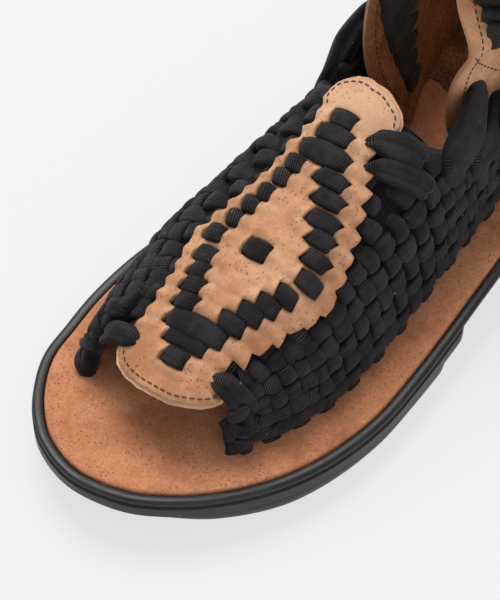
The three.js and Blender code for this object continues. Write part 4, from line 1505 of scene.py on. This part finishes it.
# %% A pile of rings, closed above and below
def pile(name, rings, bottom_level, top_level, across=44):
    """Rings skinned in order and closed with rungs whose heights are read from two fields."""
    count = len(rings[0])
    points = [p for ring in rings for p in ring]
    faces = []
    for r in range(len(rings) - 1):
        for k in range(count):
            n = (k + 1) % count
            faces.append([r * count + k, r * count + n, (r + 1) * count + n, (r + 1) * count + k])
    shares = np.linspace(0, 1, across + 1)
    for ring, base, level, flip in ((rings[0], 0, bottom_level, True),
                                    (rings[-1], (len(rings) - 1) * count, top_level, False)):
        half = count // 2
        ids = np.empty((half + 1, across + 1), int)
        for k in range(half + 1):
            near, far = ring[k], ring[(count - k) % count]
            ids[k, 0], ids[k, -1] = base + k, base + (count - k) % count
            if k in (0, half):
                ids[k, :] = base + k
                continue
            ids[k, 1:-1] = len(points) + np.arange(across - 1)
            rung = near + (far - near) * shares[1:-1, None]
            rung[:, 2] = level(rung)
            points.extend(rung)
        for k in range(half):
            for c in range(across):
                face = [ids[k, c], ids[k + 1, c], ids[k + 1, c + 1], ids[k, c + 1]]
                face = [v for i, v in enumerate(face) if v != face[i - 1]]
                if len(face) > 2:
                    faces.append(face[::-1] if flip else face)
    return shoe_mesh(name, np.array(points), faces=faces, sharp_angle=38)


print("helper:", pile.__name__)

# %% The sole: its levels, its sides and its tread
GROOVES = (26, 40, 54, 68, 82, 178, 192, 206, 220, 234, 248, 261)
GROOVE_INSET, GROOVE_BOW, GROOVE_HALF_WIDTH, GROOVE_DEPTH = 7, 5, 2, 3


def rim(station):
    return read(RIM, "top", station)


def ground(station):
    return read(RIM, "ground", station)


def tier_out(station):
    return LIP_WIDTH + 0.5 - UNDERCUT * (1 - read(RIM, "tier", station))


def block_out(station):
    return LIP_WIDTH + 0.2 - UNDERCUT * (1 - read(RIM, "block", station))


def block_top(station):
    return np.maximum(rim(station) - TIER_DEPTH, ground(station) + 2.6)


def tread(points):
    """Level of the ground side, cut by grooves that bend back to the heel at their ends."""
    x, station = points[:, 0], -points[:, 1]
    level = ground(station)
    for groove in GROOVES:
        low = read(EDGE, "medial", groove) + GROOVE_INSET
        high = read(EDGE, "lateral", groove) - GROOVE_INSET
        bow = GROOVE_BOW * ((2 * (x - low)) / (high - low) - 1) ** 2
        cut_here = (low < x) & (x < high) & (np.abs(station - (groove - bow)) < GROOVE_HALF_WIDTH)
        level = np.where(cut_here, ground(groove) + GROOVE_DEPTH, level)
    return level


SOLE_SIDE = (  # how far out each ring is, and its level, from the ground to the well in the top
    (lambda s: block_out(s) - GROUND_DRAW - 1.6, ground),
    (lambda s: block_out(s) - GROUND_DRAW, lambda s: ground(s) + 0.7),
    (lambda s: block_out(s) - 0.3, lambda s: block_top(s) - 1.2),
    (lambda s: np.minimum(block_out(s), tier_out(s)) - 0.6, lambda s: block_top(s) - 0.2),
    (tier_out, lambda s: block_top(s) + 0.9),
    (tier_out, lambda s: rim(s) - LIP_DEPTH - 1.3),
    (lambda s: np.minimum(tier_out(s), LIP_WIDTH) - 0.7, lambda s: rim(s) - LIP_DEPTH - 0.6),
    (LIP_WIDTH, lambda s: rim(s) - LIP_DEPTH),
    (LIP_WIDTH + 0.1, lambda s: rim(s) - 0.9),
    (LIP_WIDTH - 0.2, lambda s: rim(s) - 0.4),
    (LIP_WIDTH - 0.7, lambda s: rim(s) - 0.1),
    (LIP_WIDTH - 1.4, rim),
    (1.0, rim),
    (0.35, lambda s: rim(s) - 0.2),
    (0, lambda s: rim(s) - 0.8),
    (0, lambda s: rim(s) - WELL_DEPTH))
sole_mesh = pile("sole", [edge_ring(*ring) for ring in SOLE_SIDE], tread,
                 lambda p: rim(-p[:, 1]) - WELL_DEPTH)
sole = finished("sole", sole_mesh, "sole_rubber", rubber)
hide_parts("outsole")

# %% The footbed
BOARD_SIDE = (
    (-FIT, lambda s: rim(s) - WELL_DEPTH + FIT),
    (-FIT, lambda s: rim(s) - 0.3),
    (-FIT - 0.25, lambda s: footbed_top(s) - 0.62),
    (-FIT - 0.8, lambda s: footbed_top(s) - 0.2),
    (-FIT - 1.8, footbed_top))
board_mesh = pile("leather_footbed", [edge_ring(*ring) for ring in BOARD_SIDE],
                  lambda p: rim(-p[:, 1]) - WELL_DEPTH + FIT, lambda p: footbed_top(-p[:, 1]))
leather_footbed = finished("leather_footbed", board_mesh, "footbed_leather", footbed_leather)
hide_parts("footbed")

# %% [markdown]
# ## The counter
# The counter is one bent sheet of leather, smooth outside and napped inside, with soft rounded edges.
# Its outer flap stands a little higher than the rest and its corner curls inwards. A cloth simulation
# would let the flap fall, but stiff leather keeps its shape, so the curl is a rule. The two faces are
# grids over the same upright lines, so that straps and seams can be placed on them by row and share.

# %% Places on the wall, with the outer flap curled and raised
CURL = np.array([-16.0, 2.5, -2.5])  # how far the flap's top corner moves
BULGE_OUT = np.array([2.2, 0.0, 0.0])  # and how far the leather bends out below it
FLAP_RISE = 0.16


def on_counter(row, share, lift):
    row, share = np.broadcast_arrays(np.asarray(row, float), np.asarray(share, float))
    flap = smoothstep(9.0, 10, row)
    curl = smoothstep(0.86, 1.12, share) * flap
    bulge = np.exp(-((share - 0.9) / 0.1) ** 2) * flap
    return counter_face(row, share, lift) + curl[..., None] * CURL + bulge[..., None] * BULGE_OUT


def flap_face(row, share, lift):
    """The same, with shares stretched so that 1 is the top edge on the outer flap too."""
    row, share = np.broadcast_arrays(np.asarray(row, float), np.asarray(share, float))
    return on_counter(row, share * (1 + FLAP_RISE * smoothstep(8.9, 10, row)), lift)


flap_top = placed(flap_face(LAST, 1.0, 0.0))[2]
print("the outer flap's corner is", round(float(flap_top) * 1000, 1), "mm above the ground")

# %% The wall
ROW_LENGTH, WALL_HEIGHT = 14, 75  # about how long a row and how high the wall is
ROUNDING = 0.7
OUTSIDE, INSIDE = 0, 1


def counter_wall():
    rows, shares = np.linspace(0, LAST, 181), np.linspace(0, 1, 61)
    r, s = np.meshgrid(rows, shares, indexing="ij")
    front, back = flap_face(r, s, 0.0), flap_face(r, s, -COUNTER_THICK)
    to_end = np.minimum(rows, LAST - rows) * ROW_LENGTH
    to_edge = np.minimum(np.minimum(shares, 1 - shares)[None, :] * WALL_HEIGHT, to_end[:, None])
    soft = (back - front) / COUNTER_THICK * ROUNDING * np.exp(-to_edge / ROUNDING)[..., None]
    n, m = len(rows), len(shares)
    ids = np.arange(n * m).reshape(n, m)
    faces, kinds = [], []
    for i in range(n - 1):
        for j in range(m - 1):
            quad = [ids[i, j], ids[i, j + 1], ids[i + 1, j + 1], ids[i + 1, j]]
            faces += [quad, [v + n * m for v in reversed(quad)]]
            kinds += [OUTSIDE, INSIDE]
    loop = [*ids[:, 0], *ids[-1, 1:], *ids[-2::-1, -1], *ids[0, -2:0:-1]]
    for a, b in zip(loop, loop[1:] + loop[:1]):
        faces.append([a, b, b + n * m, a + n * m])
        kinds.append(OUTSIDE)
    both = np.vstack([(front + soft).reshape(-1, 3), (back - soft).reshape(-1, 3)])
    mesh = shoe_mesh("leather_counter", both, faces=faces, sharp_angle=60)
    keep_values(mesh, "cut", np.tile(np.exp(-to_edge / 0.8).ravel(), 2))
    mesh.materials.append(tan_leather)
    mesh.materials.append(suede)
    mesh.polygons.foreach_set("material_index", kinds)
    return mesh


leather_counter = finished("leather_counter", counter_wall(), "counter_leather")
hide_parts("heel_counter")

# %% [markdown]
# On the heel seat lies a thin suede pad between the counter's walls, with a shallow curve in front. It
# is one more flat pattern: a distance to the walls and to the front edge, clipped at zero and laid down.

# %% The heel pad
PAD_FRONT = ([0, 8, 12, 16, 19, 20.8, 22, 30], [86, 83.5, 81.8, 80.6, 80.9, 82.5, 86, 94])
PAD_THICK = 0.9
pad_x, pad_s = np.meshgrid(np.arange(-30.0, 30.1, 0.75), np.arange(2.0, 95.1, 0.75), indexing="ij")
walls = counter_levels(np.linspace(0, LAST, 81))[0]
floor_plan = np.stack([-walls[:, 1], walls[:, 0]], axis=1)
to_front = np.interp(np.abs(pad_x), *PAD_FRONT) - pad_s
pad_clip = clipped(np.minimum(distance_inside(floor_plan, pad_s, pad_x) + 0.4, to_front), pad_x, pad_s)
x, s = pad_clip[0].T
pad_base = np.stack([x, -s, footbed_top(s)], axis=1)
pad_mesh = sheet_mesh("heel_pad", pad_clip, pad_base + (0, 0, PAD_THICK), pad_base + (0, 0, 0.02),
                      cut=(0, 0))
finished("heel_pad", pad_mesh, "counter_leather", suede)

# %% Seams along the counter's edges, on both faces, and one across the outer flap's fold
FROM_END, UP_TO = 0.28, 0.965  # rows from the wall's ends, and share of the way up
edge_shares = np.linspace(0.03, UP_TO, 60)
top_rows = np.linspace(FROM_END, LAST - FROM_END, 260)
seam_lines = []
for lift in (0.05, -COUNTER_THICK - 0.05):
    seam_lines += [flap_face(FROM_END, edge_shares, lift),
                   flap_face(LAST - FROM_END, edge_shares, lift),
                   flap_face(top_rows, UP_TO, lift)]
seam_lines.append(on_counter(np.linspace(9.86, 8.9, 40), np.linspace(0.87, 0.62, 40), 0.05))
seams("counter_stitches", seam_lines, "counter_leather")

# %% [markdown]
# ## Straps that fan up to the counter
# From the collar's edge straps rise to slits in the two flaps. Each swells between its ends and is
# drawn to a point where it goes through the leather. They follow the strips' rule, so the strip tree
# makes them too, from rails that leave the arch and end on the counter.

# %% Fan straps
FAN = table("side station height row end width",
            (1, 135, 42, 9.5, 51, 6.4), (1, 123, 34, 9.05, 38, 5.6), (1, 108, 34, 8.7, 42, 4.8),
            (1, 93, 33, 8.3, 44, 4.2), (-1, 134, 45, 0.3, 61, 4.0), (-1, 121, 37, 1.0, 51, 3.9),
            (-1, 108, 36, 1.25, 53, 4.4), (-1, 93, 33, 1.7, 50, 4.2))


STRAP_POINTS = 34
WIDTH_ALONG = ([0, 0.15, 0.35, 0.55, 0.8, 0.93, 1], [0.5, 1, 1.3, 1.15, 0.7, 0.4, 0.2])
THICK_ALONG = ([0, 0.2, 0.5, 0.9, 1], [0.6, 1, 1.1, 0.6, 0.3])


def share_at_height(row, height):
    low, _, top = counter_levels(np.array([float(row)]))
    target = footbed_top(-low[0, 1]) + height
    return (target - low[0, 2]) / (top[0, 2] - low[0, 2])


def fan_strap(side, station, height, row, end, width):
    root = on_arch([station], [arc_at_height(side, station, height - 7)])[0]
    rise = on_arch([station - 2.0], [arc_at_height(side, station - 2, height + 1)])[0]
    share = share_at_height(row, end)
    tip, beyond = on_counter([row, row], [share, share + 0.05], np.array([1.6, -1.4]))
    middle = (rise + tip) / 2 + np.array([side * 2.0, 0, 0])
    corners = np.array([root, rise, middle, tip, beyond])
    line = smooth_through(corners, np.linspace(0, len(corners) - 1, STRAP_POINTS))
    t = np.linspace(0, 1, STRAP_POINTS)
    half_width, half_thick = width * np.interp(t, *WIDTH_ALONG), 2.4 * np.interp(t, *THICK_ALONG)
    out = np.tile(np.array([side, 0, 0.45]), (STRAP_POINTS, 1))
    return rail(line, out, half_width, half_thick, fold=0.1 * side, start=station)


fan_rails = [fan_strap(*row) for row in zip(*FAN.values())]
strips("fan_straps", fan_rails, points=20, fold_depth=0.3)

# %% [markdown]
# The ends of the straps are woven through the flaps. Inside the inner flap seven short strips lie one
# above the other, and their pointed ends give the band its toothed edges. Three more lie outside each
# flap, near its top.

# %% Bands woven through the flaps
BAND_POINTS = 22


def band(rows_left, rows_right, shares, lift, half_width, point=0.9):
    """Strips that cross the wall from row to row at a lift, and go through it at both ends."""
    facing = np.sign(lift + 0.5)
    made = []
    for left, right, share in zip(rows_left, rows_right, shares):
        rows, t = np.linspace(left, right, BAND_POINTS), np.linspace(0, 1, BAND_POINTS)
        shown = smoothstep(0, 0.16, t) * smoothstep(0, 0.16, 1 - t)
        points = on_counter(rows, share, lift - 2.0 * facing * (1 - shown))
        out = on_counter(rows, share, facing) - on_counter(rows, share, 0.0)
        width = half_width * (1.1 - point * smoothstep(0.6, 0.97, t) - 0.5 * smoothstep(0.2, 0.0, t))
        made.append(rail(points, out, width, 1.3 * (0.5 + 0.5 * shown), skew=0.8))
    return made


band_shares = np.linspace(0.84, 0.17, 7)
left_rows = np.interp(band_shares, [0.14, 0.31, 0.42, 0.59, 0.70, 0.83],
                      [0.62, 0.71, 0.65, 0.56, 0.46, 0.33])
right_rows = np.interp(band_shares, [0.13, 0.27, 0.35, 0.52, 0.83], [1.27, 1.32, 1.42, 1.52, 1.42])
band_rails = band(left_rows, right_rows, band_shares, -COUNTER_THICK - 0.4, 4.9, 1.0)
band_rails += band([8.3, 8.35, 8.4], [9.58, 9.64, 9.72], [0.925, 0.985, 1.045], 1.1, 7.4, 0.15)
band_rails += band([0.5, 0.5, 0.55], [1.7, 1.6, 1.5], [0.76, 0.84, 0.92], 0.4, 3.6)
strips("counter_bands", band_rails, fold_depth=0.2)

# %% [markdown]
# ## Floor
# The shoe stands on pale paper that is much wider than the view, so no horizon shows. The paper glows a
# little, as a lit studio sweep does, which keeps the shoe's shadow soft.

# %% Floor
REACH, BELOW_SOLE = 4.0, 0.0002  # metres
sheet_corners = [(x, y, -BELOW_SOLE) for x, y in ((-REACH, -REACH), (REACH, -REACH), (REACH, REACH),
                                                  (-REACH, REACH))]
floor_mesh = bpy.data.meshes.new("floor")
floor_mesh.from_pydata(sheet_corners, [], [(0, 1, 2, 3)])
floor = bpy.data.objects.new("floor", floor_mesh)
bpy.context.scene.collection.objects.link(floor)
paper = bpy.data.materials.new("pale paper")
paper.use_nodes = True
paper_shader = paper.node_tree.nodes["Principled BSDF"]
for socket, value in (("Base Color", (0.16, 0.159, 0.16, 1)), ("Roughness", 0.9),
                      ("Emission Color", (1, 0.99, 1, 1)), ("Emission Strength", 0.7)):
    paper_shader.inputs[socket].default_value = value
floor_mesh.materials.append(paper)
print("floor", 2 * REACH, "m across")
